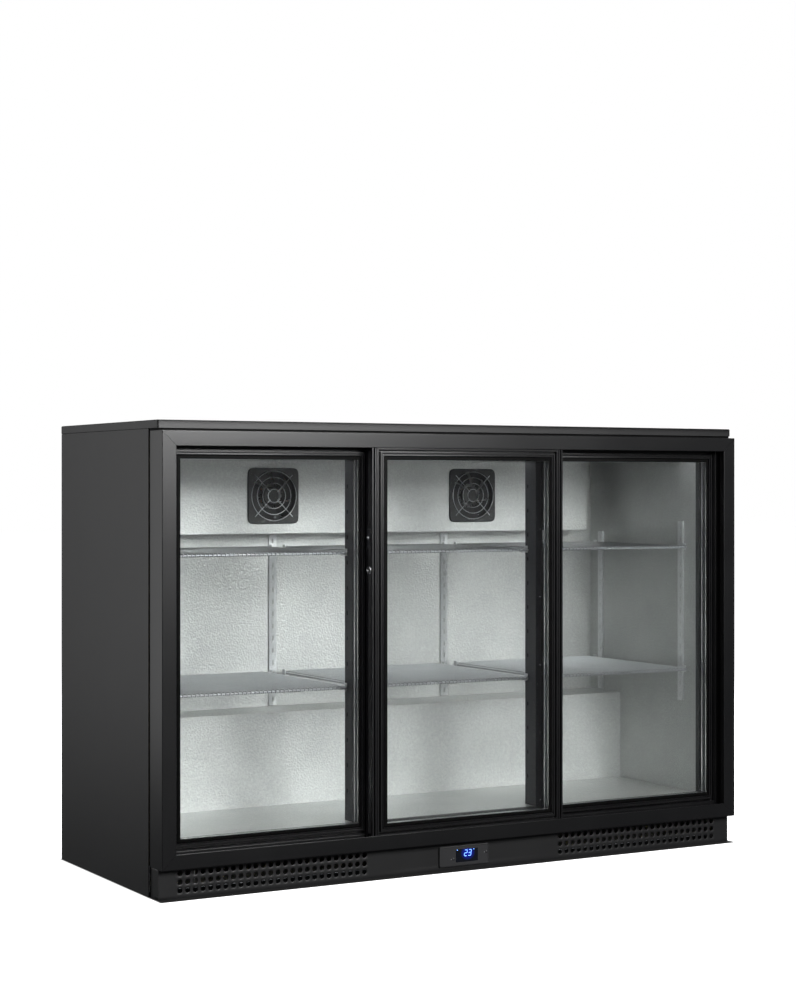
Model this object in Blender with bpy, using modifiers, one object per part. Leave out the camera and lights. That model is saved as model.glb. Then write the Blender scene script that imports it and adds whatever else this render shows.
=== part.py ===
"""Undercounter refrigerator with three sliding glass doors, as separate named pieces.

Metres, +Z up. The front faces -Y and the width runs along X. The origin is on the floor,
under the middle of the cabinet. Left and right are as seen by someone facing the front.
Run with: blender --background --python part.py
"""

import math

import bmesh
import bpy
from mathutils import Euler, Matrix, Vector

# Cabinet
WIDTH = 1.350
DEPTH = 0.530
HEIGHT = 0.900
WALL = 0.055  # insulated wall, from outer skin to liner
SKIN = 0.0012  # painted sheet
GAP = 0.0003  # between pieces that touch
WORKTOP_THICKNESS = 0.016
WORKTOP_SETBACK = 0.018  # behind the front frame's face
BODY_INSET = 0.003  # rear of the side panels, in front of the worktop's rear edge
FOAM_BOTTOM = 0.060

# Front frame, a mitred extrusion whose inner side holds two door tracks
FRAME_REVEAL = 0.002  # narrower than the cabinet, each side
FRAME_DROP = 0.004  # below the worktop
FRAME_FACE = 0.029
FRAME_DEPTH = 0.061
FRAME_BOTTOM = 0.058
FRAME_LIP = 0.0025
FRAME_WEB = 0.002
TRACK_FIN = 0.0015
TRACK_POCKET = 0.0145  # depth of each track
MITRE_GAP = 0.0004

# Sliding doors
DOOR_BITE = 0.012  # how far a closed door's edge sits inside its track
DOOR_OVERLAP = 0.019  # centre door over each side door
DOOR_CLEARANCE = 0.0008  # each side of a door in its track
DOOR_LIFT = 0.0035  # room above a door
DOOR_DROP = 0.002  # door's lower edge above the track's floor
STILE = 0.034
PANE = 0.004
OUTER_SETBACK = 0.002  # outer pane behind the door's face
INNER_SETBACK = 0.00415  # inner pane in from the door's rear
ROLLER_RADIUS = 0.007
ROLLER_WIDTH = 0.006
ROLLER_INSET = 0.060  # roller's middle from the door's side
AXLE_RADIUS = 0.002
AXLE_LENGTH = 0.014
AXLE_CLEARANCE = 0.0004
ROLLER_CLEARANCE = 0.0015
LOCK_HEIGHT = 0.610
LOCK_RADIUS = 0.008
LOCK_LENGTH = 0.012
LOCK_PROUD = 0.0015
LOCK_CLEARANCE = 0.0004
KEYWAY_WIDTH = 0.0016
KEYWAY_LENGTH = 0.009
KEYWAY_DEPTH = 0.004

# Kick panel and controller
KICK_SETBACK = 0.023
KICK_REVEAL = 0.004
GRILLE_COLUMNS = 26
GRILLE_PITCH = 0.0158
GRILLE_INSET = 0.048  # outermost column from the cabinet's side
GRILLE_SLOT = 0.010
GRILLE_LOW = 0.0085
GRILLE_HIGH = 0.0525
BEZEL_X = -0.004
BEZEL_WIDTH = 0.117
BEZEL_LOW = 0.007
BEZEL_HIGH = 0.049
BEZEL_PROUD = 0.004
BEZEL_CORNER = 0.003
CONTROL_BODY = (0.080, 0.030, 0.032)  # width, height and depth behind the bezel
LENS = (0.052, 0.026, 0.0012)  # width, height and thickness
LENS_X = 0.002
BUTTON_RADIUS = 0.003
BUTTON_LENGTH = 0.0026
BUTTON_PROUD = 0.0008
BUTTON_TRAVEL = 0.0008
BUTTON_CLEARANCE = 0.0003
BUTTON_OFFSETS = {"left": (-0.0295, -0.0056), "right": (0.0490, 0.0032)}

# Interior
LINER_FLOOR = 0.105
CEILING_DROP = 0.0490  # liner's ceiling below the worktop's underside
STEP_HEIGHT = 0.300  # top of the step over the machine compartment
STEP_WALL = 0.040
UPPER_SHELF_DROP = 0.029  # upper shelf below the evaporator cover
LOWER_SHELF_LIFT = 0.077  # lower shelf above the step
SHELF_THICKNESS = 0.005
SHELF_RIM = 0.006
SHELF_BAR = 0.004
SHELF_BARS = 12
SHELF_FRONT = 0.085  # shelf's front edge behind the front frame's face
SHELF_CLEARANCE = 0.003
POST_INSET = 0.0095  # post's middle in from the centre door's edge
POST_WIDTH = 0.030
POST_DEPTH = 0.050
POST_WALL = 0.0015
PILASTER_WIDTH = 0.018
PILASTER_DEPTH = 0.004
PILASTER_WALL = 0.0012
PILASTER_LIFT = 0.002  # above the step
PILASTER_DROP = 0.137  # front pilasters' tops below the ceiling
REAR_PILASTER_DROP = 0.005  # rear pilasters' tops below the evaporator cover
FRONT_PILASTER_Y = 0.123  # behind the front frame's face
REAR_PILASTER_INSET = 0.045  # in front of the rear wall
LIGHT_INSET = 0.040  # light bar's ends from the side walls
LIGHT_SECTION = (0.012, 0.008)
LIGHT_Y = 0.120

# Cooling
COVER_INSET = 0.060  # cover's ends from the side walls
COVER_DEPTH = 0.070
COVER_HEIGHT = 0.160
COVER_SKIN = 0.0015
FAN_X = 0.248
FAN_RADIUS = 0.052
FAN_HUB = 0.018
FAN_DEPTH = 0.014
FAN_BLADES = 5
FAN_PITCH = math.radians(32)
FAN_OPENING = 0.057
FAN_SETBACK = 0.012  # fan's middle behind the cover's face
COIL_INSET = 0.080  # coil's ends from the cover's ends
COIL_SECTION = (0.026, 0.100)  # depth and height
COIL_FINS = 30
COMPRESSOR_RADIUS = 0.056
COMPRESSOR_SEAM = 1.05  # radius of the welded seam, as a share of the shell's
COMPRESSOR_CLEARANCE = 0.0066  # seam to the room's front and rear
COMPRESSOR_HEIGHT = 0.165
COMPRESSOR_X = 0.060
CONDENSER = (0.110, 0.100, 0.150)
CONDENSER_INSET = 0.255  # condenser's middle from the cabinet's side
CONDENSER_FINS = 18
CONDENSER_FAN_GAP = 0.100  # fan's middle from the condenser's middle
BASE_HEIGHT = 0.010
VENT_COLUMNS = 9
VENT_ROWS = 2
VENT = (0.060, 0.012)
VENT_PITCH = (0.120, 0.060)
VENT_LOW = 0.100
GLAND_INSET = 0.175  # from the cabinet's side
GLAND_HEIGHT = 0.080
GLAND_RADIUS = 0.009
GLAND_FLANGE = (0.013, 0.0025)  # radius and thickness
GLAND_BORE = 0.004
GLAND_TAIL = 0.012

# Levelling feet
FOOT_RADIUS = 0.016
FOOT_PAD = 0.006
SPINDLE_RADIUS = 0.004
SPINDLE_TOP = 0.045
SPINDLE_CLEARANCE = 0.0005
FOOT_INSET = (0.110, 0.100)  # from the cabinet's side, and from its front or rear

ROUND_SIDES = 24

# Planes and lengths that follow from the sizes above
FRONT = -DEPTH / 2
BACK = DEPTH / 2
SIDE = WIDTH / 2
BODY_TOP = HEIGHT - WORKTOP_THICKNESS - GAP
BODY_FRONT = FRONT + FRAME_DEPTH + GAP
BODY_BACK = BACK - BODY_INSET
FRAME_SIDE = SIDE - FRAME_REVEAL
FRAME_TOP = HEIGHT - WORKTOP_THICKNESS - FRAME_DROP
OPENING_SIDE = FRAME_SIDE - FRAME_FACE
TRACK_WIDTH = (FRAME_DEPTH - FRAME_LIP - 2 * TRACK_FIN) / 2
DOOR_THICKNESS = TRACK_WIDTH - 2 * DOOR_CLEARANCE
DOOR_WIDTH = (2 * (OPENING_SIDE + DOOR_BITE) + 2 * DOOR_OVERLAP) / 3
TRACK_FLOOR = FRAME_BOTTOM + FRAME_FACE - TRACK_POCKET
DOOR_BOTTOM = TRACK_FLOOR + DOOR_DROP
DOOR_TOP = FRAME_TOP - FRAME_FACE + TRACK_POCKET - DOOR_LIFT
FRONT_TRACK = FRONT + FRAME_LIP + DOOR_CLEARANCE
REAR_TRACK = FRONT_TRACK + TRACK_WIDTH + TRACK_FIN
SIDE_DOOR_X = OPENING_SIDE + DOOR_BITE - DOOR_WIDTH / 2
LINER_SIDE = SIDE - WALL
LINER_BACK = BACK - WALL
LINER_TOP = HEIGHT - WORKTOP_THICKNESS - CEILING_DROP
BAY_BOTTOM = BASE_HEIGHT + SKIN
MACHINE_DEPTH = 2 * (COMPRESSOR_RADIUS * COMPRESSOR_SEAM + COMPRESSOR_CLEARANCE)
MACHINE_FRONT = BODY_BACK - SKIN - MACHINE_DEPTH
MACHINE_TOP = STEP_HEIGHT - STEP_WALL
STEP_FRONT = MACHINE_FRONT - STEP_WALL
CONDENSER_X = CONDENSER_INSET - SIDE
GLAND_X = SIDE - GLAND_INSET
COVER_FRONT = LINER_BACK - COVER_DEPTH
COVER_LOW = LINER_TOP - COVER_HEIGHT
COVER_SIDE = LINER_SIDE - COVER_INSET
POST_X = DOOR_WIDTH / 2 - POST_INSET
SHELF_LEVELS = {"upper": COVER_LOW - UPPER_SHELF_DROP, "lower": STEP_HEIGHT + LOWER_SHELF_LIFT}
PILASTER_LOW = STEP_HEIGHT + PILASTER_LIFT
PILASTER_HIGH = LINER_TOP - PILASTER_DROP
REAR_PILASTER_HIGH = COVER_LOW - REAR_PILASTER_DROP
SIDE_PILASTERS = {
    "front": (FRONT + FRONT_PILASTER_Y, PILASTER_HIGH),
    "rear": (LINER_BACK - REAR_PILASTER_INSET, REAR_PILASTER_HIGH),
}

COLOURS = {
    "black_coat": ((0.030, 0.030, 0.032), 0.45, 0.0),
    "black_frame": ((0.022, 0.022, 0.024), 0.40, 0.0),
    "black_plastic": ((0.020, 0.020, 0.022), 0.50, 0.0),
    "embossed_liner": ((0.55, 0.56, 0.57), 0.35, 1.0),
    "foam": ((0.80, 0.72, 0.45), 0.90, 0.0),
    "glass": ((0.80, 0.86, 0.86), 0.05, 0.0),
    "chrome": ((0.75, 0.75, 0.76), 0.18, 1.0),
    "galvanised": ((0.60, 0.61, 0.62), 0.45, 1.0),
    "white_light": ((0.95, 0.97, 1.00), 0.40, 0.0),
    "display": ((0.01, 0.02, 0.10), 0.10, 0.0),
    "white_plastic": ((0.80, 0.80, 0.78), 0.45, 0.0),
    "aluminium": ((0.70, 0.71, 0.72), 0.35, 1.0),
    "rubber": ((0.03, 0.03, 0.03), 0.80, 0.0),
}


def clear_scene():
    """Remove every object of the scene that the script starts in."""
    for old in list(bpy.data.objects):
        bpy.data.objects.remove(old, do_unlink=True)


def new_collection(name):
    """A collection linked to the scene."""
    made = bpy.data.collections.new(name)
    bpy.context.scene.collection.children.link(made)
    return made


def finish_of(name):
    """The material of that name, made once."""
    found = bpy.data.materials.get(name)
    if found:
        return found
    colour, roughness, metallic = COLOURS[name]
    made = bpy.data.materials.new(name)
    made.use_nodes = True
    shader = made.node_tree.nodes["Principled BSDF"]
    shader.inputs["Base Color"].default_value = (*colour, 1.0)
    shader.inputs["Roughness"].default_value = roughness
    shader.inputs["Metallic"].default_value = metallic
    return made


def add_object(name, mesh, material, place=Matrix.Identity(4)):
    """Link a mesh as a part, or as a hidden cutter when it has no material."""
    made = bpy.data.objects.new(name, mesh)
    made.matrix_world = place
    if material is None:
        CUTTERS.objects.link(made)
        made.hide_render = True
        made.display_type = "WIRE"
        return made
    PARTS.objects.link(made)
    mesh.materials.append(finish_of(material))
    return made


def slab(name, low, high, material=None, origin=None):
    """A box between two corners; its origin is its middle unless one is given."""
    low, high = Vector(low), Vector(high)
    origin = (low + high) / 2 if origin is None else Vector(origin)
    shape = bmesh.new()
    stretch = Matrix.Diagonal((*(high - low), 1))
    bmesh.ops.create_cube(shape, size=1, matrix=Matrix.Translation((low + high) / 2 - origin) @ stretch)
    mesh = bpy.data.meshes.new(name)
    shape.to_mesh(mesh)
    shape.free()
    return add_object(name, mesh, material, Matrix.Translation(origin))


def lying(location, plane):
    """Places a flat outline: its own x and y run along the plane's two letters."""
    turns = {"XY": (0, 0, 0), "XZ": (math.pi / 2, 0, 0), "YZ": (math.pi / 2, 0, math.pi / 2)}
    return Matrix.Translation(location) @ Euler(turns[plane]).to_matrix().to_4x4()


def plate(name, outlines, thickness, place, material=None):
    """A flat shape: the first outline less the others, centred on its thickness."""
    curve = bpy.data.curves.new(name, "CURVE")
    curve.dimensions = "2D"
    curve.fill_mode = "BOTH"
    curve.extrude = thickness / 2
    for outline in outlines:
        spline = curve.splines.new("POLY")
        spline.points.add(len(outline) - 1)
        for point, (x, y) in zip(spline.points, outline):
            point.co = (x, y, 0, 1)
        spline.use_cyclic_u = True
    guide = bpy.data.objects.new(name + "_outline", curve)
    CUTTERS.objects.link(guide)
    bpy.context.view_layer.update()
    mesh = bpy.data.meshes.new_from_object(guide.evaluated_get(bpy.context.evaluated_depsgraph_get()))
    mesh.name = name
    mesh.materials.clear()
    bpy.data.objects.remove(guide)
    weld(mesh)
    return add_object(name, mesh, material, place)


def weld(mesh):
    """Merge the vertices of a mesh that lie on each other."""
    shape = bmesh.new()
    shape.from_mesh(mesh)
    bmesh.ops.remove_doubles(shape, verts=shape.verts, dist=0.00001)
    shape.to_mesh(mesh)
    shape.free()


def turned(name, profile, place, material=None, sides=ROUND_SIDES):
    """A shape turned about its own Z; the profile gives radius and height, from the top down."""
    mesh = bpy.data.meshes.new(name)
    points = [(radius, 0, height) for radius, height in profile]
    mesh.from_pydata(points, [(i, i + 1) for i in range(len(points) - 1)], [])
    made = add_object(name, mesh, material, place)
    screw = made.modifiers.new("turn", "SCREW")
    screw.steps = sides
    screw.render_steps = sides
    screw.use_merge_vertices = True
    screw.merge_threshold = 0.00001
    return made


def along(location, axis):
    """Places a turned shape with its own Z along X, Y or Z."""
    turns = {"X": (0, math.pi / 2, 0), "-X": (0, -math.pi / 2, 0), "-Y": (math.pi / 2, 0, 0), "Z": (0, 0, 0)}
    return Matrix.Translation(location) @ Euler(turns[axis]).to_matrix().to_4x4()


def rod(name, radius, length, place, material=None, sides=ROUND_SIDES):
    """A cylinder along its own Z, centred on its length."""
    half = length / 2
    return turned(name, [(0, half), (radius, half), (radius, -half), (0, -half)], place, material, sides)


def combine(target, tool, operation="DIFFERENCE"):
    """Cut a part with a tool, or join the tool to it."""
    step = target.modifiers.new(tool.name, "BOOLEAN")
    step.operation = operation
    step.object = tool
    return target


def rectangle(width, height, x=0.0, y=0.0):
    """The corners of a rectangle about (x, y)."""
    corners = ((-1, -1), (1, -1), (1, 1), (-1, 1))
    return [(x + width / 2 * a, y + height / 2 * b) for a, b in corners]


def circle(radius, x=0.0, y=0.0, sides=ROUND_SIDES):
    """The corners of a round outline about (x, y)."""
    turns = [2 * math.pi * index / sides for index in range(sides)]
    return [(x + radius * math.cos(turn), y + radius * math.sin(turn)) for turn in turns]


def channel_outline(width, depth, wall):
    """A C section with its open side at y = depth and its web on y = 0."""
    half = width / 2
    outer = [(-half, depth), (-half, 0), (half, 0), (half, depth)]
    inner = [(half - wall, depth), (half - wall, wall), (-half + wall, wall), (-half + wall, depth)]
    return outer + inner


def cavity_outline(growth):
    """The cold room seen from the side, in Y and Z, grown on every face by growth."""
    low, high = LINER_FLOOR - growth, LINER_TOP + growth
    back = LINER_BACK + growth
    step_front = STEP_FRONT + growth
    step_top = STEP_HEIGHT - growth
    lower = [(BODY_FRONT, low), (step_front, low), (step_front, step_top), (back, step_top)]
    return lower + [(back, high), (BODY_FRONT, high)]


def cavity_block(name, growth, front):
    """A solid of the cold room grown by growth, open towards the front."""
    outline = cavity_outline(growth)
    outline[0] = (front, outline[0][1])
    outline[-1] = (front, outline[-1][1])
    return plate(name, [outline], 2 * (LINER_SIDE + growth), lying((0, 0, 0), "YZ"))


def make_side_panels():
    """The two painted outer sides, which stand on the floor."""
    for name, side in (("left", -1), ("right", 1)):
        outer, inner = side * SIDE, side * (SIDE - SKIN)
        low = (min(outer, inner), BODY_FRONT, 0)
        high = (max(outer, inner), BODY_BACK, BODY_TOP)
        slab("side_panel_" + name, low, high, "black_coat")


def make_rear_panel():
    """The rear sheet, with vents to the machine compartment and a hole for the cable gland."""
    half = SIDE - SKIN - GAP
    low, high = BAY_BOTTOM + GAP, BODY_TOP
    outlines = [rectangle(2 * half, high - low, 0, (low + high) / 2)]
    for row in range(VENT_ROWS):
        for column in range(VENT_COLUMNS):
            x = (column - (VENT_COLUMNS - 1) / 2) * VENT_PITCH[0]
            outlines.append(rectangle(*VENT, x, VENT_LOW + (row + 1) * VENT_PITCH[1]))
    outlines.append(circle(GLAND_RADIUS + GAP, GLAND_X, GLAND_HEIGHT))
    place = lying((0, BODY_BACK - SKIN / 2, 0), "XZ")
    plate("rear_panel", outlines, SKIN, place, "black_coat")


def make_worktop():
    """The folded steel top: a tray turned upside down."""
    low = (-SIDE, FRONT + WORKTOP_SETBACK, HEIGHT - WORKTOP_THICKNESS)
    high = (SIDE, BACK, HEIGHT)
    top = slab("worktop", low, high, "black_coat")
    inside_low = (low[0] + SKIN, low[1] + SKIN, low[2] - SKIN)
    inside_high = (high[0] - SKIN, high[1] - SKIN, high[2] - SKIN)
    combine(top, slab("worktop_hollow", inside_low, inside_high))


def make_base_pan():
    """The chassis tray under the insulated body, with upturned sides and holes for the feet."""
    half = SIDE - SKIN - GAP
    front, back = BODY_FRONT, BODY_BACK - SKIN - GAP
    top = FOAM_BOTTOM - GAP
    outline = [(-half, top), (-half, BASE_HEIGHT), (half, BASE_HEIGHT), (half, top)]
    outline += [(half - SKIN, top), (half - SKIN, BAY_BOTTOM), (SKIN - half, BAY_BOTTOM), (SKIN - half, top)]
    place = lying((0, (front + back) / 2, 0), "XZ")
    pan = plate("base_pan", [outline], back - front, place, "galvanised")
    for name, (x, y) in foot_places().items():
        middle = (x, y, BASE_HEIGHT)
        reach = SPINDLE_RADIUS + SPINDLE_CLEARANCE
        hole = rod("spindle_hole_" + name, reach, 4 * SKIN, along(middle, "Z"), sides=12)
        combine(pan, hole)


def make_liner():
    """The embossed inner lining: one open shell with a step over the machine compartment."""
    shape = bmesh.new()
    outline = [shape.verts.new((-LINER_SIDE, y, z)) for y, z in cavity_outline(0)]
    side = shape.faces.new(outline)
    grown = bmesh.ops.extrude_face_region(shape, geom=[side])["geom"]
    moved = [v for v in grown if isinstance(v, bmesh.types.BMVert)]
    bmesh.ops.translate(shape, verts=moved, vec=(2 * LINER_SIDE, 0, 0))
    mouth = [f for f in shape.faces if all(abs(v.co.y - BODY_FRONT) < 1e-6 for v in f.verts)]
    bmesh.ops.delete(shape, geom=mouth, context="FACES_ONLY")
    bmesh.ops.recalc_face_normals(shape, faces=shape.faces)
    mesh = bpy.data.meshes.new("inner_liner")
    shape.to_mesh(mesh)
    shape.free()
    liner = add_object("inner_liner", mesh, "embossed_liner")
    wall = liner.modifiers.new("wall", "SOLIDIFY")
    wall.thickness = SKIN
    wall.offset = 1
    wall.use_even_offset = True


def make_foam():
    """The foamed-in insulation between the outer skins and the liner."""
    half = SIDE - SKIN - GAP
    low = (-half, BODY_FRONT, FOAM_BOTTOM)
    high = (half, BODY_BACK - SKIN - GAP, BODY_TOP)
    foam = slab("insulation_foam", low, high, "foam")
    combine(foam, cavity_block("foam_cavity", SKIN + GAP, FRONT))
    room_low = (-SIDE, MACHINE_FRONT, 0)
    combine(foam, slab("machine_room", room_low, (SIDE, BACK, MACHINE_TOP)))


def frame_profile():
    """The frame's section: distance in from its outer edge, and depth behind its face."""
    web_inner, web_outer = TRACK_POCKET, TRACK_POCKET - FRAME_WEB
    pocket = FRAME_FACE - TRACK_POCKET
    fin_front = FRAME_LIP + TRACK_WIDTH
    fin_back = fin_front + TRACK_FIN
    lip_back = FRAME_DEPTH - TRACK_FIN
    front = [(0, 0), (FRAME_FACE, 0), (FRAME_FACE, FRAME_LIP), (pocket, FRAME_LIP)]
    fins = [(pocket, fin_front), (FRAME_FACE, fin_front), (FRAME_FACE, fin_back), (pocket, fin_back)]
    lip = [(pocket, lip_back), (FRAME_FACE, lip_back), (FRAME_FACE, FRAME_DEPTH)]
    hollow = [(pocket - FRAME_WEB, FRAME_DEPTH), (pocket - FRAME_WEB, FRAME_LIP)]
    outer = [(FRAME_WEB, FRAME_LIP), (FRAME_WEB, FRAME_DEPTH), (0, FRAME_DEPTH)]
    return front + fins + lip + hollow + outer


def frame_member(name, edge_point):
    """Sweep the section between two mitres; edge_point(inset, end) gives x and z."""
    shape = bmesh.new()
    profile = frame_profile()
    start = [edge_point(inset, 0) for inset, depth in profile]
    finish = [edge_point(inset, 1) for inset, depth in profile]
    ring = [shape.verts.new((x, FRONT + depth, z)) for (x, z), (inset, depth) in zip(start, profile)]
    face = shape.faces.new(ring)
    grown = bmesh.ops.extrude_face_region(shape, geom=[face])["geom"]
    targets = {}
    for (x, z), (inset, depth), (far_x, far_z) in zip(start, profile, finish):
        targets[(round(x, 6), round(FRONT + depth, 6), round(z, 6))] = (far_x, FRONT + depth, far_z)
    for vertex in grown:
        if isinstance(vertex, bmesh.types.BMVert):
            vertex.co = targets[tuple(round(c, 6) for c in vertex.co)]
    bmesh.ops.recalc_face_normals(shape, faces=shape.faces)
    mesh = bpy.data.meshes.new(name)
    shape.to_mesh(mesh)
    shape.free()
    return add_object(name, mesh, "black_frame")


def make_front_frame():
    """Four mitred lengths of one extrusion."""
    for name, edge, inward in (("top", FRAME_TOP, -1), ("bottom", FRAME_BOTTOM, 1)):
        def across(inset, end, edge=edge, inward=inward):
            reach = FRAME_SIDE - inset - MITRE_GAP
            return (reach if end else -reach, edge + inward * inset)
        frame_member("front_frame_" + name, across)
    for name, side in (("left", -1), ("right", 1)):
        def upright(inset, end, side=side):
            return (side * (FRAME_SIDE - inset), FRAME_TOP - inset if end else FRAME_BOTTOM + inset)
        frame_member("front_frame_" + name, upright)


def make_kick_panel():
    """The folded plinth with its two air grilles and the controller's cut-out."""
    half, front, back = SIDE - KICK_REVEAL, FRONT + KICK_SETBACK, BODY_FRONT - 2 * GAP
    outline = [(-half, back), (-half, front), (half, front), (half, back)]
    outline += [(half - SKIN, back), (half - SKIN, front + SKIN)]
    outline += [(SKIN - half, front + SKIN), (SKIN - half, back)]
    top = FRAME_BOTTOM - GAP
    panel = plate("kick_panel", [outline], top, lying((0, 0, top / 2), "XY"), "black_coat")
    slots = bmesh.new()
    size = (GRILLE_SLOT, 4 * SKIN, GRILLE_HIGH - GRILLE_LOW, 1)
    for side in (-1, 1):
        for column in range(GRILLE_COLUMNS):
            x = side * (SIDE - GRILLE_INSET - column * GRILLE_PITCH)
            middle = Matrix.Translation((x, front + SKIN / 2, (GRILLE_HIGH + GRILLE_LOW) / 2))
            bmesh.ops.create_cube(slots, size=1, matrix=middle @ Matrix.Diagonal(size))
    mesh = bpy.data.meshes.new("grille_slots")
    slots.to_mesh(mesh)
    slots.free()
    combine(panel, add_object("grille_slots", mesh, None))
    width, height, depth = CONTROL_BODY
    middle = bezel_middle()
    low = (BEZEL_X - width / 2 - GAP, front - SKIN, middle - height / 2 - GAP)
    high = (BEZEL_X + width / 2 + GAP, front + 2 * SKIN, middle + height / 2 + GAP)
    combine(panel, slab("control_cutout", low, high))


def bezel_middle():
    """Height of the controller's middle."""
    return (BEZEL_LOW + BEZEL_HIGH) / 2


def make_controller():
    """Bezel with its body behind the plinth, display lens and two push buttons."""
    face = FRONT + KICK_SETBACK - GAP - BEZEL_PROUD
    middle = bezel_middle()
    place = lying((BEZEL_X, face + BEZEL_PROUD / 2, middle), "XZ")
    outline = rectangle(BEZEL_WIDTH, BEZEL_HIGH - BEZEL_LOW)
    bezel = plate("controller_bezel", [outline], BEZEL_PROUD, place, "black_plastic")
    width, height, depth = CONTROL_BODY
    low = (BEZEL_X - width / 2, face + BEZEL_PROUD / 2, middle - height / 2)
    high = (BEZEL_X + width / 2, face + BEZEL_PROUD + depth, middle + height / 2)
    combine(bezel, slab("control_body", low, high), "UNION")
    lens_low = (LENS_X - LENS[0] / 2, face, middle - LENS[1] / 2)
    lens_high = (LENS_X + LENS[0] / 2, face + LENS[2], middle + LENS[1] / 2)
    slab("display_lens", lens_low, lens_high, "display")
    pocket_low = (lens_low[0] - GAP, face - GAP, lens_low[2] - GAP)
    pocket_high = (lens_high[0] + GAP, lens_high[1] + GAP, lens_high[2] + GAP)
    combine(bezel, slab("lens_pocket", pocket_low, pocket_high))
    for name, (x, z) in BUTTON_OFFSETS.items():
        front = face - BUTTON_PROUD
        centre = (x, front + BUTTON_LENGTH / 2, middle + z)
        rod("button_" + name, BUTTON_RADIUS, BUTTON_LENGTH, along(centre, "-Y"), "black_plastic", 16)
        depth = BUTTON_LENGTH - BUTTON_PROUD + BUTTON_TRAVEL + BUTTON_CLEARANCE
        bore_middle = (x, face + depth / 2, middle + z)
        reach = BUTTON_RADIUS + BUTTON_CLEARANCE
        bore = rod("button_bore_" + name, reach, depth, along(bore_middle, "-Y"), sides=16)
        bore.location.y -= GAP / 2
        bore.scale.z = (depth + GAP) / depth
        combine(bezel, bore)


def make_door(name, middle, front):
    """One sliding door: its frame, two panes and two rollers."""
    low, high = (middle - DOOR_WIDTH / 2, DOOR_BOTTOM), (middle + DOOR_WIDTH / 2, DOOR_TOP)
    centre = ((low[0] + high[0]) / 2, (low[1] + high[1]) / 2)
    outer = rectangle(DOOR_WIDTH, DOOR_TOP - DOOR_BOTTOM)
    opening = (DOOR_WIDTH - 2 * STILE, DOOR_TOP - DOOR_BOTTOM - 2 * STILE)
    place = lying((centre[0], front + DOOR_THICKNESS / 2, centre[1]), "XZ")
    frame = plate("door_frame_" + name, [outer, rectangle(*opening)], DOOR_THICKNESS, place, "black_frame")
    for pane, setback in (("outer", OUTER_SETBACK), ("inner", DOOR_THICKNESS - INNER_SETBACK - PANE)):
        half = (opening[0] / 2 - GAP, opening[1] / 2 - GAP)
        pane_low = (centre[0] - half[0], front + setback, centre[1] - half[1])
        pane_high = (centre[0] + half[0], front + setback + PANE, centre[1] + half[1])
        slab("door_glass_" + pane + "_" + name, pane_low, pane_high, "glass")
    axle_height = TRACK_FLOOR + GAP + ROLLER_RADIUS
    for end, x in (("a", low[0] + ROLLER_INSET), ("b", high[0] - ROLLER_INSET)):
        spot = (x, front + DOOR_THICKNESS / 2, axle_height)
        make_roller("door_roller_" + name + "_" + end, spot)
        reach = ROLLER_RADIUS + ROLLER_CLEARANCE
        notch_half = ROLLER_WIDTH / 2 + ROLLER_CLEARANCE
        notch_low = (x - reach, spot[1] - notch_half, DOOR_BOTTOM - GAP)
        notch_high = (x + reach, spot[1] + notch_half, axle_height + reach)
        combine(frame, slab("roller_notch_" + name + end, notch_low, notch_high))
        bore_radius, bore_length = AXLE_RADIUS + AXLE_CLEARANCE, AXLE_LENGTH + 2 * AXLE_CLEARANCE
        bore = rod("axle_bore_" + name + end, bore_radius, bore_length, along(spot, "-Y"), sides=12)
        combine(frame, bore)
    return frame


def make_roller(name, spot):
    """A roller and its axle, turned about Y."""
    wheel, shaft = ROLLER_WIDTH / 2, AXLE_LENGTH / 2
    profile = [(0, shaft), (AXLE_RADIUS, shaft), (AXLE_RADIUS, wheel), (ROLLER_RADIUS, wheel)]
    profile += [(radius, -height) for radius, height in reversed(profile)]
    turned(name, profile, along(spot, "-Y"), "white_plastic", 16)


def make_doors():
    """Centre door on the front track, side doors on the rear one, and the centre door's locks."""
    make_door("left", -SIDE_DOOR_X, REAR_TRACK)
    make_door("right", SIDE_DOOR_X, REAR_TRACK)
    centre = make_door("centre", 0, FRONT_TRACK)
    y = FRONT_TRACK + DOOR_THICKNESS / 2
    for name, side, axis in (("left", -1, "-X"), ("right", 1, "X")):
        face = side * (DOOR_WIDTH / 2 + LOCK_PROUD)
        middle = (face - side * LOCK_LENGTH / 2, y, LOCK_HEIGHT)
        barrel = rod("lock_barrel_" + name, LOCK_RADIUS, LOCK_LENGTH, along(middle, axis), "chrome", 20)
        depth = LOCK_LENGTH + 2 * LOCK_CLEARANCE
        bore_middle = (face + side * GAP - side * depth / 2, y, LOCK_HEIGHT)
        bore_radius = LOCK_RADIUS + LOCK_CLEARANCE
        bore = rod("lock_bore_" + name, bore_radius, depth, along(bore_middle, axis), sides=20)
        combine(centre, bore)
        low = (face - KEYWAY_DEPTH, y - KEYWAY_WIDTH / 2, LOCK_HEIGHT - KEYWAY_LENGTH / 2)
        high = (face + KEYWAY_DEPTH, y + KEYWAY_WIDTH / 2, LOCK_HEIGHT + KEYWAY_LENGTH / 2)
        combine(barrel, slab("keyway_" + name, low, high))


def make_shelf(name, x_low, x_high, top):
    """A wire shelf: a rim with bars that run from front to rear."""
    front = FRONT + SHELF_FRONT
    back = LINER_BACK - PILASTER_DEPTH - SHELF_CLEARANCE
    width, depth = x_high - x_low, back - front
    inside = width - 2 * SHELF_RIM
    slot = (inside - SHELF_BARS * SHELF_BAR) / (SHELF_BARS + 1)
    outlines = [rectangle(width, depth)]
    for index in range(SHELF_BARS + 1):
        x = -inside / 2 + slot / 2 + index * (slot + SHELF_BAR)
        outlines.append(rectangle(slot, depth - 2 * SHELF_RIM, x, 0))
    place = lying(((x_low + x_high) / 2, (front + back) / 2, top - SHELF_THICKNESS / 2), "XY")
    plate(name, outlines, SHELF_THICKNESS, place, "chrome")


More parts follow.
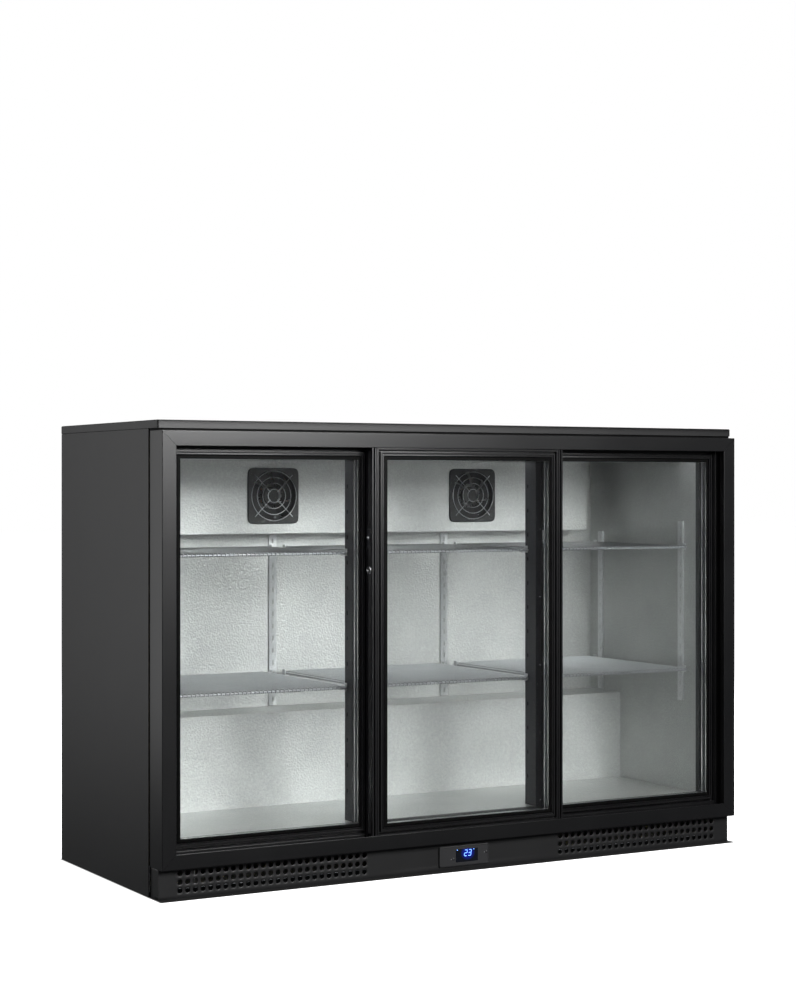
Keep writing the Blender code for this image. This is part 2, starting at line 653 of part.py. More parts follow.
def make_shelves():
    """Two levels of shelves in each of three bays."""
    side = LINER_SIDE - PILASTER_DEPTH - SHELF_CLEARANCE
    post = POST_X + POST_WIDTH / 2 + SHELF_CLEARANCE
    near = POST_X - POST_WIDTH / 2 - SHELF_CLEARANCE
    bays = {"left": (-side, -post), "centre": (-near, near), "right": (post, side)}
    for level, top in SHELF_LEVELS.items():
        for bay, (x_low, x_high) in bays.items():
            make_shelf("shelf_" + level + "_" + bay, x_low, x_high, top)


def make_uprights():
    """Front posts behind the door edges, and slotted pilasters on the side and rear walls."""
    post_height = LINER_TOP - LINER_FLOOR - 2 * GAP
    post_outline = channel_outline(POST_WIDTH, POST_DEPTH, POST_WALL)
    pilaster_outline = channel_outline(PILASTER_WIDTH, PILASTER_DEPTH, PILASTER_WALL)
    for name, side in (("left", -1), ("right", 1)):
        spot = (side * POST_X, BODY_FRONT + GAP, (LINER_TOP + LINER_FLOOR) / 2)
        plate("support_post_" + name, [post_outline], post_height, lying(spot, "XY"), "black_frame")
        spot = (side * POST_X, LINER_BACK - GAP - PILASTER_DEPTH, (REAR_PILASTER_HIGH + PILASTER_LOW) / 2)
        height = REAR_PILASTER_HIGH - PILASTER_LOW
        plate("pilaster_back_" + name, [pilaster_outline], height, lying(spot, "XY"), "aluminium")
        for end, (y, top) in SIDE_PILASTERS.items():
            spot = (side * (LINER_SIDE - GAP - PILASTER_DEPTH), y, (top + PILASTER_LOW) / 2)
            place = Matrix.Translation(spot) @ Matrix.Rotation(-side * math.pi / 2, 4, "Z")
            plate("pilaster_" + end + "_" + name, [pilaster_outline], top - PILASTER_LOW, place, "aluminium")


def make_light():
    """The light bar under the ceiling, behind the posts."""
    depth, height = LIGHT_SECTION
    half = LINER_SIDE - LIGHT_INSET
    low = (-half, FRONT + LIGHT_Y - depth / 2, LINER_TOP - GAP - height)
    high = (half, FRONT + LIGHT_Y + depth / 2, LINER_TOP - GAP)
    slab("led_strip", low, high, "white_light")


def comb(name, size, fins, middle, place_plane, material):
    """A finned coil block: a solid core with fins along its first length."""
    length, depth, height = size
    pitch = length / fins
    outline = [(-length / 2, -depth / 2)]
    for index in range(fins):
        x = -length / 2 + index * pitch
        outline += [(x + pitch / 2, -depth / 2), (x + pitch / 2, depth / 4)]
        if index < fins - 1:
            outline += [(x + pitch, depth / 4), (x + pitch, -depth / 2)]
    outline += [(length / 2, depth / 4), (length / 2, depth / 2), (-length / 2, depth / 2)]
    plate(name, [outline], height, lying(middle, place_plane), material)


def make_fan(name, middle, axis):
    """A hub with pitched blades, joined into one body that turns about its own Z."""
    place = along(middle, axis)
    fan = rod(name, FAN_HUB, FAN_DEPTH, place, "black_plastic", 20)
    blades = bmesh.new()
    for index in range(FAN_BLADES):
        turn = Matrix.Rotation(index * 2 * math.pi / FAN_BLADES, 4, "Z")
        made = bmesh.ops.create_cube(blades, size=1)["verts"]
        for vertex in made:
            tip = vertex.co.x > 0
            radius = FAN_RADIUS if tip else FAN_HUB * 0.8
            chord = FAN_DEPTH * (2.6 if tip else 0.9)
            vertex.co = (radius, vertex.co.y * chord, vertex.co.z * 0.0012)
        bmesh.ops.transform(blades, matrix=turn @ Matrix.Rotation(FAN_PITCH, 4, "X"), verts=made)
    mesh = bpy.data.meshes.new(name + "_blades")
    blades.to_mesh(mesh)
    blades.free()
    combine(fan, add_object(name + "_blades", mesh, None, place), "UNION")


def make_evaporator():
    """The cold-air unit under the rear of the ceiling: cover, coil and two fans."""
    half, top = COVER_SIDE, LINER_TOP - GAP
    low, high = (-half, COVER_FRONT, COVER_LOW), (half, LINER_BACK - GAP, top)
    cover = slab("evaporator_cover", low, high, "embossed_liner")
    hollow_low = (-half + COVER_SKIN, COVER_FRONT + COVER_SKIN, COVER_LOW + COVER_SKIN)
    combine(cover, slab("cover_hollow", hollow_low, (half - COVER_SKIN, BACK, HEIGHT)))
    height = (COVER_LOW + top) / 2
    for name, side in (("left", -1), ("right", 1)):
        hole_middle = (side * FAN_X, COVER_FRONT, height)
        hole_place = along(hole_middle, "-Y")
        combine(cover, rod("fan_hole_" + name, FAN_OPENING, 6 * COVER_SKIN, hole_place, sides=32))
        make_fan("evaporator_fan_" + name, (side * FAN_X, COVER_FRONT + FAN_SETBACK, height), "-Y")
    depth, tall = COIL_SECTION
    coil = (2 * (COVER_SIDE - COIL_INSET), depth, tall)
    comb("evaporator_coil", coil, COIL_FINS, (0, LINER_BACK - GAP - depth, height), "XY", "aluminium")


def make_machine():
    """Compressor, condenser and its fan, behind the step at the rear of the base."""
    room_middle = (MACHINE_FRONT + BODY_BACK - SKIN) / 2
    floor = BAY_BOTTOM + GAP
    radius, tall = COMPRESSOR_RADIUS, COMPRESSOR_HEIGHT
    dome = [(0, tall), (radius * 0.5, tall * 0.985), (radius * 0.85, tall * 0.91), (radius, tall * 0.78)]
    seam = radius * COMPRESSOR_SEAM
    wall = [(radius, tall * 0.50), (seam, tall * 0.49), (seam, tall * 0.46), (radius, tall * 0.45)]
    foot = [(radius, tall * 0.12), (radius * 0.85, tall * 0.04), (radius * 0.70, 0), (0, 0)]
    place = along((COMPRESSOR_X, room_middle, floor), "Z")
    turned("compressor", dome + wall + foot, place, "black_coat")
    condenser_middle = (CONDENSER_X, room_middle, floor + CONDENSER[2] / 2)
    comb("condenser_coil", CONDENSER, CONDENSER_FINS, condenser_middle, "XY", "aluminium")
    make_fan("condenser_fan", (CONDENSER_X + CONDENSER_FAN_GAP, room_middle, floor + CONDENSER[2] / 2), "X")


def make_gland():
    """The rubber gland where the mains lead would leave the rear panel."""
    flange_radius, flange = GLAND_FLANGE
    front = BODY_BACK + GAP
    profile = [(GLAND_BORE, 0), (flange_radius, 0), (flange_radius, -flange), (GLAND_RADIUS, -flange)]
    profile += [(GLAND_RADIUS, -flange - GLAND_TAIL), (GLAND_BORE, -flange - GLAND_TAIL), (GLAND_BORE, 0)]
    turn = Matrix.Rotation(-math.pi / 2, 4, "X")
    place = Matrix.Translation((GLAND_X, front + flange, GLAND_HEIGHT)) @ turn
    turned("cable_gland", profile, place, "rubber", 20)


def foot_places():
    """The x and y of each levelling foot's spindle."""
    side, end = FOOT_INSET
    x = SIDE - side
    rows = {"front": FRONT + end, "rear": BACK - end}
    columns = {"left": -x, "right": x}
    return {row + "_" + column: (cx, y) for row, y in rows.items() for column, cx in columns.items()}


def make_feet():
    """Four screw-out feet whose pads stand on the floor."""
    for name, (x, y) in foot_places().items():
        profile = [(0, SPINDLE_TOP), (SPINDLE_RADIUS, SPINDLE_TOP), (SPINDLE_RADIUS, FOOT_PAD)]
        profile += [(FOOT_RADIUS * 0.8, FOOT_PAD), (FOOT_RADIUS, FOOT_PAD * 0.5), (FOOT_RADIUS, 0), (0, 0)]
        turned("levelling_foot_" + name, profile, along((x, y, 0), "Z"), "rubber", 16)


def shade_round_parts():
    """Smooth the turned and rounded pieces, and keep their sharp edges."""
    for part in PARTS.objects:
        part.data.shade_smooth()
        part.data.set_sharp_from_angle(angle=math.radians(35))


clear_scene()
PARTS = new_collection("undercounter_refrigerator")
CUTTERS = new_collection("cutters")
make_side_panels()
make_rear_panel()
make_worktop()
make_base_pan()
make_liner()
make_foam()
make_front_frame()
make_kick_panel()
make_controller()
make_doors()
make_shelves()
make_uprights()
make_light()
make_evaporator()
make_machine()
make_gland()
make_feet()
shade_round_parts()
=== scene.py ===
"""Looks of a back-bar bottle cooler with three sliding glass doors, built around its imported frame.

Every sub-assembly is a class: its sizes are fields, and its methods build meshes and dress them.
Metres, +Z up, front towards -Y. Sections are given as (inset, depth) pairs: inset runs from a
member's outer edge towards the middle of its opening, depth runs back from its face.
"""

import logging
import math
from dataclasses import dataclass, field
from enum import Enum

import bmesh
import bpy
import numpy as np
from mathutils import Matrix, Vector


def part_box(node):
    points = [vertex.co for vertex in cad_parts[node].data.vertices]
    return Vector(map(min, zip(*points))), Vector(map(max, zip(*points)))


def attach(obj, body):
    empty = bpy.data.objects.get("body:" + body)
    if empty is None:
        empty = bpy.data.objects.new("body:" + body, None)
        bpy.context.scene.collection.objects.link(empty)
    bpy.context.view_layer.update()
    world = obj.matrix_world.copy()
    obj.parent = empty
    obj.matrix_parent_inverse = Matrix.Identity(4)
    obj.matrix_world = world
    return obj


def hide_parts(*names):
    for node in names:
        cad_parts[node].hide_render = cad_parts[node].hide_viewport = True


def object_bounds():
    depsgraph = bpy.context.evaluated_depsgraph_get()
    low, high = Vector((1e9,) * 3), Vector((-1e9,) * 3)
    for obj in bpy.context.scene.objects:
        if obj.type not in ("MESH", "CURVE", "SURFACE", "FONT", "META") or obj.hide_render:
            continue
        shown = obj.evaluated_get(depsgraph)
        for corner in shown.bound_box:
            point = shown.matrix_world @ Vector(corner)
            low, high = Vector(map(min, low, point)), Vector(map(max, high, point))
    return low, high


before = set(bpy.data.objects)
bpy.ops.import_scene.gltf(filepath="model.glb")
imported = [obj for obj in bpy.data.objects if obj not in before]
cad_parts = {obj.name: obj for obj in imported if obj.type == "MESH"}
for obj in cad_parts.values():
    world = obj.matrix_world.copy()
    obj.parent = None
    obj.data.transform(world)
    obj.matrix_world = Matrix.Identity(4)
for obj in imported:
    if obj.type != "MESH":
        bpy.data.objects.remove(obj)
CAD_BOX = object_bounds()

log = logging.getLogger("bottle_cooler")
logging.basicConfig(level=logging.INFO, format="%(message)s")

CABINET = "cabinet"
HAIR = 0.0002  # laps a thin piece over what carries it


# ---------------------------------------------------------------- shapes


@dataclass
class Shape:
    """Points and faces that are not yet a mesh.

    Args:
        points: an (n, 3) array in metres.
        faces: arrays of point numbers, one row for each face.
    """

    points: np.ndarray
    faces: list[np.ndarray]

    def moved(self, x: float = 0.0, y: float = 0.0, z: float = 0.0) -> "Shape":
        """The same shape shifted by x, y and z."""
        return Shape(self.points + np.array([x, y, z]), self.faces)

    def mapped(self, axes: np.ndarray, origin: tuple[float, float, float]) -> "Shape":
        """The shape with its own x, y and z laid along the rows of axes, from origin."""
        return Shape(self.points @ np.asarray(axes, float) + np.asarray(origin, float), self.faces)

    def repeated(self, offsets: np.ndarray) -> "Shape":
        """A copy at each row of offsets: every point plus every offset, as one array.

        Args:
            offsets: one row of x, y and z for each copy.

        Returns:
            All the copies as one shape.
        """
        offsets = np.asarray(offsets, float).reshape(-1, 3)
        points = (offsets[:, None, :] + self.points[None, :, :]).reshape(-1, 3)
        starts = np.arange(len(offsets)) * len(self.points)
        faces = [(starts[:, None, None] + block[None]).reshape(-1, block.shape[1]) for block in self.faces]
        return Shape(points, faces)


def joined(shapes: list[Shape]) -> Shape:
    """Several shapes as one, with their face numbers moved up in turn.

    Args:
        shapes: what is put together, in order.

    Returns:
        One shape.
    """
    points, faces, start = [], [], 0
    for shape in shapes:
        points.append(shape.points)
        faces += [block + start for block in shape.faces]
        start += len(shape.points)
    return Shape(np.vstack(points), faces)


def grid(points: np.ndarray, around: bool = True, loop: bool = False, caps: bool = True) -> Shape:
    """Faces over an array of rows and columns of points.

    Args:
        points: an (rows, columns, 3) array.
        around: joins the last column to the first.
        loop: joins the last row to the first.
        caps: closes the first and last rows with one face each.

    Returns:
        The surface as a shape.
    """
    rows, columns = points.shape[:2]
    number = np.arange(rows * columns).reshape(rows, columns)
    down = np.vstack([number, number[:1]]) if loop else number
    full = np.hstack([down, down[:, :1]]) if around else down
    corners = (full[:-1, :-1], full[1:, :-1], full[1:, 1:], full[:-1, 1:])
    faces = [np.stack([c.ravel() for c in corners], axis=1)]
    if around and caps and not loop:
        faces += [number[:1, ::-1], number[-1:]]
    return Shape(points.reshape(-1, 3), faces)


def eased(corners: list[tuple[float, float]], setback: float | list[float], steps: int = 4) -> np.ndarray:
    """A closed outline with its corners rounded off.

    Each corner C becomes the curve (1-t)^2 A + 2t(1-t) C + t^2 B, where A and B lie on the two
    edges that meet there, at the setback from C, or at under half of an edge that is shorter.

    Args:
        corners: the outline's corners, in order.
        setback: one distance for every corner, or one for each.
        steps: points along each curve.

    Returns:
        The outline as an (n, 2) array.
    """
    points = np.asarray(corners, float)
    before, after = np.roll(points, 1, axis=0) - points, np.roll(points, -1, axis=0) - points
    lengths = [np.linalg.norm(edge, axis=1, keepdims=True) for edge in (before, after)]
    wanted = np.broadcast_to(np.asarray(setback, float).reshape(-1, 1), (len(points), 1))
    start, end = (
        points + edge / length * np.minimum(wanted, 0.49 * length)
        for edge, length in zip((before, after), lengths)
    )
    t = np.linspace(0, 1, steps)[None, :, None]
    curve = (1 - t) ** 2 * start[:, None] + 2 * t * (1 - t) * points[:, None] + t**2 * end[:, None]
    return curve.reshape(-1, 2)


def rectangle(width: float, height: float, x: float = 0.0, y: float = 0.0) -> list[tuple[float, float]]:
    """Four corners about (x, y), anticlockwise."""
    return [(x + width / 2 * a, y + height / 2 * b) for a, b in ((-1, -1), (1, -1), (1, 1), (-1, 1))]


def pad(low: Vector, high: Vector, radius: float, edge: float, across: str = "y") -> Shape:
    """A block with rounded corners and softly rounded front and rear edges.

    Rings of one rounded rectangle are stacked along an axis; near each end the ring is drawn in
    by edge * (1 - sin a) while it moves along by edge * cos a, which makes a quarter-round edge.

    Args:
        low, high: opposite corners of the block.
        radius: setback of the corners seen along the axis.
        edge: radius of the front and rear edges.
        across: the axis that the rings are stacked along.

    Returns:
        A closed solid.
    """
    order = {"x": (1, 2, 0), "y": (0, 2, 1), "z": (0, 1, 2)}[across]
    low, high = np.array(low, float)[list(order)], np.array(high, float)[list(order)]
    size, middle = high - low, (high + low) / 2
    angles = np.linspace(0, math.pi / 2, 4)
    shrink = np.concatenate([edge * (1 - np.sin(angles)), edge * (1 - np.sin(angles[::-1]))])
    step = edge * (1 - np.cos(angles))
    along = np.concatenate([low[2] + step, high[2] - step[::-1]])
    outline = eased(rectangle(size[0], size[1]), radius)
    scale = 1 - 2 * shrink[:, None, None] / size[None, None, :2]
    flat = middle[None, None, :2] + outline[None] * scale
    points = np.concatenate([flat, np.broadcast_to(along[:, None, None], flat.shape[:2] + (1,))], axis=2)
    placed = np.empty_like(points)
    placed[..., list(order)] = points
    return grid(placed)


def turned(profile: list[tuple[float, float]], sides: int = 32) -> Shape:
    """A profile of (radius, height) pairs turned about Z: (r cos a, r sin a, h).

    Args:
        profile: pairs from the top of the axis to its bottom.
        sides: points round the axis.

    Returns:
        A closed solid about Z.
    """
    radius, height = np.asarray(profile, float).T
    turn = np.arange(sides) * 2 * math.pi / sides
    x, y = radius[:, None] * np.cos(turn), radius[:, None] * np.sin(turn)
    return grid(np.stack([x, y, np.broadcast_to(height[:, None], x.shape)], axis=2))


def hoop(
    section: list[tuple[float, float]],
    centre: tuple[float, float, float],
    axis: str,
    sides: int,
) -> Shape:
    """A closed section of (radius, along) pairs carried round the X or Y axis through the centre.

    Args:
        section: the closed outline.
        centre: a point on the axis, where along is 0.
        axis: X or Y.
        sides: points round the axis.

    Returns:
        A closed ring.
    """
    radius, along = np.asarray(section, float).T
    turn = np.arange(sides) * 2 * math.pi / sides
    first, second = radius[:, None] * np.cos(turn), radius[:, None] * np.sin(turn)
    ahead = np.broadcast_to(along[:, None], first.shape)
    rows = [ahead, first, second] if axis == "X" else [first, ahead, second]
    return grid(np.stack(rows, axis=2) + np.asarray(centre, float), loop=True)


def facing(shape: Shape, origin: tuple[float, float, float], axis: str) -> Shape:
    """Turns a shape's own Z to an axis of the cabinet, such as -Y for the front.

    Args:
        shape: made about its own Z.
        origin: where its own origin goes.
        axis: X, Y or Z, with a minus sign to point the other way.

    Returns:
        The placed shape.
    """
    axes = {
        "X": [[0, 1, 0], [0, 0, 1], [1, 0, 0]],
        "-X": [[0, -1, 0], [0, 0, 1], [-1, 0, 0]],
        "Y": [[-1, 0, 0], [0, 0, 1], [0, 1, 0]],
        "-Y": [[1, 0, 0], [0, 0, 1], [0, -1, 0]],
        "Z": [[1, 0, 0], [0, 1, 0], [0, 0, 1]],
    }
    return shape.mapped(axes[axis], origin)


def tube(path: np.ndarray, radius: float, sides: int = 8, loop: bool = False) -> Shape:
    """A circle carried along a path.

    At each point the tangent is the difference of its neighbours; the circle lies in the plane of
    the two directions square to it, P + r (cos a * N + sin a * B).

    Args:
        path: points along the middle.
        radius: of the circle.
        sides: points round the circle.
        loop: joins the path's end to its start.

    Returns:
        A closed solid.
    """
    path = np.asarray(path, float)
    tangent = np.roll(path, -1, 0) - np.roll(path, 1, 0) if loop else np.gradient(path, axis=0)
    tangent /= np.linalg.norm(tangent, axis=1, keepdims=True)
    spare = np.eye(3)[np.argmin(np.abs(tangent).max(axis=0))]
    normal = np.cross(tangent, spare)
    normal /= np.linalg.norm(normal, axis=1, keepdims=True)
    binormal = np.cross(tangent, normal)
    turn = (np.arange(sides) * 2 * math.pi / sides)[None, :, None]
    ring = path[:, None] + radius * (np.cos(turn) * normal[:, None] + np.sin(turn) * binormal[:, None])
    return grid(ring, loop=loop)


def rods(starts: np.ndarray, ends: np.ndarray, radius: float, sides: int = 8) -> Shape:
    """Many straight round wires at once, each a ring of sides at its start and at its end.

    Args:
        starts, ends: one row for each wire, all of one length and direction.
        radius: of every wire.
        sides: points round a wire.

    Returns:
        All the wires as one shape.
    """
    starts, ends = np.asarray(starts, float).reshape(-1, 3), np.asarray(ends, float).reshape(-1, 3)
    one = tube(np.array([starts[0], ends[0]]), radius, sides)
    return one.repeated(starts - starts[0])


def smooth_path(points: list[tuple[float, float, float]], count: int = 12) -> np.ndarray:
    """A Catmull-Rom curve through the points, with count steps between each pair.

    Args:
        points: what the curve passes through.
        count: steps between each pair.

    Returns:
        The curve as an (n, 3) array.
    """
    p = np.asarray(points, float)
    p = np.vstack([2 * p[0] - p[1], p, 2 * p[-1] - p[-2]])
    t = np.linspace(0, 1, count, endpoint=False)[None, :, None]
    a, b, c, d = (p[i : len(p) - 3 + i, None] for i in range(4))
    curve = 0.5 * (2 * b + (c - a) * t + (2 * a - 5 * b + 4 * c - d) * t**2 + (3 * b - a - 3 * c + d) * t**3)
    return np.vstack([curve.reshape(-1, 3), p[-2:-1]])


def prism(outline: np.ndarray, start: float, end: float, axis: str) -> Shape:
    """An outline carried straight along an axis; its own x and y lie on the other two in order.

    Args:
        outline: an (n, 2) array or list.
        start, end: where the solid begins and ends along the axis.
        axis: x, y or z.

    Returns:
        A closed solid.
    """
    order = {"x": (1, 2, 0), "y": (0, 2, 1), "z": (0, 1, 2)}[axis]
    outline = np.asarray(outline, float)
    flat = np.broadcast_to(outline, (2,) + outline.shape)
    along = np.broadcast_to(np.array([start, end])[:, None, None], flat.shape[:2] + (1,))
    points = np.concatenate([flat, along], axis=2)
    placed = np.empty_like(points)
    placed[..., list(order)] = points
    return grid(placed)


@dataclass(frozen=True)
class Opening:
    """A rectangle in X and Z whose edge a section is carried round, and the section's face in Y."""

    left: float
    right: float
    low: float
    high: float
    front: float

    def corners(self) -> np.ndarray:
        """The four corners and, beside each, the direction of its mitre.

        Returns:
            Rows of x, z, and the mitre's x and z directions.
        """
        return np.array(
            [
                [self.left, self.low, 1, 1],
                [self.right, self.low, -1, 1],
                [self.right, self.high, -1, -1],
                [self.left, self.high, 1, -1],
            ]
        )

    def ring(self, section: np.ndarray) -> Shape:
        """A mitred ring: corner + inset * mitre direction, at the section's depth behind the face.

        Args:
            section: (inset, depth) pairs.

        Returns:
            A closed ring with four mitres.
        """
        section, corner = np.asarray(section, float), self.corners()
        x = corner[None, :, 0] + section[:, :1] * corner[None, :, 2]
        z = corner[None, :, 1] + section[:, :1] * corner[None, :, 3]
        y = np.broadcast_to(self.front + section[:, 1:], x.shape)
        return grid(np.stack([x, y, z], axis=2).transpose(1, 0, 2), loop=True)

    def members(self, section: np.ndarray, gap: float) -> dict[str, Shape]:
        """Four mitred lengths of the section with a fine gap at each mitre.

        Args:
            section: (inset, depth) pairs.
            gap: width of the cut at a mitre.

        Returns:
            A closed solid for each side, by the side's name.
        """
        section, corner = np.asarray(section, float), self.corners()
        made = {}
        for index, name in enumerate(("bottom", "right", "top", "left")):
            ends = corner[[index, (index + 1) % 4]]
            x = ends[:, None, 0] + section[None, :, 0] * ends[:, None, 2]
            z = ends[:, None, 1] + section[None, :, 0] * ends[:, None, 3]
            if name in ("bottom", "top"):
                x = x - gap / 2 * np.sign(x)
            else:
                z = z + gap / 2 * ends[:, None, 3]
            y = np.broadcast_to(self.front + section[None, :, 1], x.shape)
            made[name] = grid(np.stack([x, y, z], axis=2))
        return made


def holed_sheet(columns: int, rows: int, cell: tuple[float, float], hole: tuple[float, float]) -> Shape:
    """A flat sheet in X and Z of cells, each with a round or slotted hole through its middle.

    A cell's rim is walked in equal steps, four a side. The hole's rim is a stadium: a circle of
    the hole's smaller size, pulled apart along its longer one. Column 0 and row 0 start at (0, 0).

    Args:
        columns, rows: number of cells each way.
        cell: a cell's width and height.
        hole: the hole's width and height.

    Returns:
        An open sheet, to be given a wall.
    """
    steps = np.arange(4) / 4 * 2 - 1
    one = np.ones(4)
    rim_x, rim_z = np.concatenate([steps, one, -steps, -one]), np.concatenate([-one, steps, one, -steps])
    angle = np.arctan2(rim_z, rim_x)
    radius = min(hole) / 2
    hole_x = radius * np.cos(angle) + np.sign(np.round(np.cos(angle), 6)) * (hole[0] / 2 - radius)
    hole_z = radius * np.sin(angle) + np.sign(np.round(np.sin(angle), 6)) * (hole[1] / 2 - radius)
    rim = np.stack([rim_x * cell[0] / 2, np.zeros(16), rim_z * cell[1] / 2], axis=1)
    bore = np.stack([hole_x, np.zeros(16), hole_z], axis=1)
    column, row = np.meshgrid(np.arange(columns) + 0.5, np.arange(rows) + 0.5)
    offsets = np.stack([column.ravel() * cell[0], np.zeros(column.size), row.ravel() * cell[1]], axis=1)
    return grid(np.stack([rim, bore]), caps=False).repeated(offsets)


def flat_grid(
    xs: list[float],
    zs: list[float],
    hollow: tuple[float, float, float, float] | None = None,
) -> Shape:
    """A sheet in X and Z with lines at the given values, less the cells inside the hollow's x and z.

    Args:
        xs, zs: where the lines run.
        hollow: least and greatest x, then z, of what is left out.

    Returns:
        An open sheet, to be given a wall.
    """
    x, z = np.meshgrid(np.asarray(xs, float), np.asarray(zs, float))
    made = grid(np.stack([x, np.zeros_like(x), z], axis=2), around=False)
    if hollow:
        middle = made.points[made.faces[0]].mean(axis=1)
        inside = (middle[:, 0] > hollow[0]) & (middle[:, 0] < hollow[1])
        inside &= (middle[:, 2] > hollow[2]) & (middle[:, 2] < hollow[3])
        made.faces[0] = made.faces[0][~inside]
    return made


# ---------------------------------------------------------------- finishes


class Pattern(Enum):
    """How a finish varies over its surface."""

    ORANGE_PEEL = "orange peel"
    DRAWN_LINES = "drawn lines"
    STUCCO = "stucco"
    SPANGLE = "spangle"
    MOULDED = "moulded"


@dataclass(frozen=True)
class Finish:
    """An opaque finish with a procedural colour, roughness and relief.

    Args:
        slot: the record's material slot, or an empty string where there is none; not used.
        colour, shade: the two colours that the pattern mixes, linear.
        roughness: lowest and highest.
        scale: how often the pattern repeats in a metre, along X, Y and Z.
        relief: height of the bump in metres.
    """

    name: str
    slot: str
    colour: tuple[float, float, float]
    shade: tuple[float, float, float]
    roughness: tuple[float, float]
    metallic: float = 0.0
    pattern: Pattern = Pattern.ORANGE_PEEL
    scale: tuple[float, float, float] = (500.0, 500.0, 500.0)
    relief: float = 0.00004
    coat: float = 0.0
    specular: float = 0.5

    def material(self) -> bpy.types.Material:
        """The Blender material, made once."""
        found = bpy.data.materials.get(self.name)
        return found if found else self.make()

    def start(self) -> tuple[bpy.types.Material, bpy.types.NodeTree, bpy.types.Node]:
        """A new material with its node tree and shader.

        Returns:
            The material, its node tree and its shader.
        """
        made = bpy.data.materials.new(self.name)
        made.use_nodes = True
        shader = made.node_tree.nodes["Principled BSDF"]
        shader.inputs["Metallic"].default_value = self.metallic
        shader.inputs["Specular IOR Level"].default_value = self.specular
        shader.inputs["Coat Weight"].default_value = self.coat
        shader.inputs["Coat Roughness"].default_value = 0.25
        return made, made.node_tree, shader

    def texture(self, tree: bpy.types.NodeTree, scale: tuple[float, float, float]) -> bpy.types.NodeSocket:
        """The pattern's value between 0 and 1 over Object coordinates.

        Args:
            tree: the node tree to add to.
            scale: repeats in a metre, along X, Y and Z.

        Returns:
            The socket that carries the value.
        """
        place = tree.nodes.new("ShaderNodeTexCoord")
        mapping = tree.nodes.new("ShaderNodeMapping")
        mapping.inputs["Scale"].default_value = scale
        tree.links.new(place.outputs["Object"], mapping.inputs["Vector"])
        if self.pattern in (Pattern.SPANGLE, Pattern.STUCCO):
            cells = tree.nodes.new("ShaderNodeTexVoronoi")
            cells.feature = "SMOOTH_F1" if self.pattern is Pattern.STUCCO else "F1"
            cells.inputs["Scale"].default_value = 1.0
            tree.links.new(mapping.outputs["Vector"], cells.inputs["Vector"])
            if self.pattern is Pattern.STUCCO:
                return cells.outputs["Distance"]
            split = tree.nodes.new("ShaderNodeSeparateColor")
            tree.links.new(cells.outputs["Color"], split.inputs["Color"])
            return split.outputs["Red"]
        noise = tree.nodes.new("ShaderNodeTexNoise")
        noise.inputs["Scale"].default_value = 1.0
        noise.inputs["Detail"].default_value = 3.0
        tree.links.new(mapping.outputs["Vector"], noise.inputs["Vector"])
        return noise.outputs["Fac"]

    def make(self) -> bpy.types.Material:
        """Builds the nodes: a fine pattern for relief, and a broad one for colour and gloss.

        Returns:
            The finished material.
        """
        made, tree, shader = self.start()
        fine = self.texture(tree, self.scale)
        broad_place = tree.nodes.new("ShaderNodeTexCoord")
        broad = tree.nodes.new("ShaderNodeTexNoise")
        broad.inputs["Scale"].default_value = 9.0
        broad.inputs["Detail"].default_value = 5.0
        tree.links.new(broad_place.outputs["Object"], broad.inputs["Vector"])
        blend = tree.nodes.new("ShaderNodeMath")
        blend.operation = "MULTIPLY_ADD"
        blend.inputs[1].default_value = 0.5
        tree.links.new(fine, blend.inputs[0])
        half = tree.nodes.new("ShaderNodeMath")
        half.operation = "MULTIPLY"
        half.inputs[1].default_value = 0.5
        tree.links.new(broad.outputs["Fac"], half.inputs[0])
        tree.links.new(half.outputs["Value"], blend.inputs[2])
        ramp = tree.nodes.new("ShaderNodeValToRGB")
        ramp.color_ramp.elements[0].position = 0.32
        ramp.color_ramp.elements[0].color = (*self.shade, 1.0)
        ramp.color_ramp.elements[1].position = 0.68
        ramp.color_ramp.elements[1].color = (*self.colour, 1.0)
        tree.links.new(blend.outputs["Value"], ramp.inputs["Fac"])
        tree.links.new(ramp.outputs["Color"], shader.inputs["Base Color"])
        gloss = tree.nodes.new("ShaderNodeMapRange")
        gloss.inputs["To Min"].default_value = self.roughness[0]
        gloss.inputs["To Max"].default_value = self.roughness[1]
        tree.links.new(blend.outputs["Value"], gloss.inputs["Value"])
        tree.links.new(gloss.outputs["Result"], shader.inputs["Roughness"])
        bump = tree.nodes.new("ShaderNodeBump")
        bump.inputs["Distance"].default_value = self.relief
        bump.inputs["Strength"].default_value = 1.0
        tree.links.new(fine, bump.inputs["Height"])
        tree.links.new(bump.outputs["Normal"], shader.inputs["Normal"])
        return made


@dataclass(frozen=True)
class GlassFinish(Finish):
    """Clear float glass with a faint uneven gloss."""

    def make(self) -> bpy.types.Material:
        """Transmission with a very faint ripple in the surface.

        Returns:
            The finished material.
        """
        made, tree, shader = self.start()
        shader.inputs["Base Color"].default_value = (*self.colour, 1.0)
        shader.inputs["Transmission Weight"].default_value = 1.0
        shader.inputs["IOR"].default_value = 1.45
        ripple = self.texture(tree, self.scale)
        gloss = tree.nodes.new("ShaderNodeMapRange")
        gloss.inputs["To Min"].default_value = self.roughness[0]
        gloss.inputs["To Max"].default_value = self.roughness[1]
        tree.links.new(ripple, gloss.inputs["Value"])
        tree.links.new(gloss.outputs["Result"], shader.inputs["Roughness"])
        kinds = ("BsdfTransparent", "LightPath", "MixShader")
        clear, ray, mix = (tree.nodes.new("ShaderNode" + kind) for kind in kinds)
        clear.inputs["Color"].default_value = (*self.shade, 1.0)
        tree.links.new(ray.outputs["Is Shadow Ray"], mix.inputs["Fac"])
        tree.links.new(shader.outputs["BSDF"], mix.inputs[1])
        tree.links.new(clear.outputs["BSDF"], mix.inputs[2])
        tree.links.new(mix.outputs["Shader"], tree.nodes["Material Output"].inputs["Surface"])
        return made


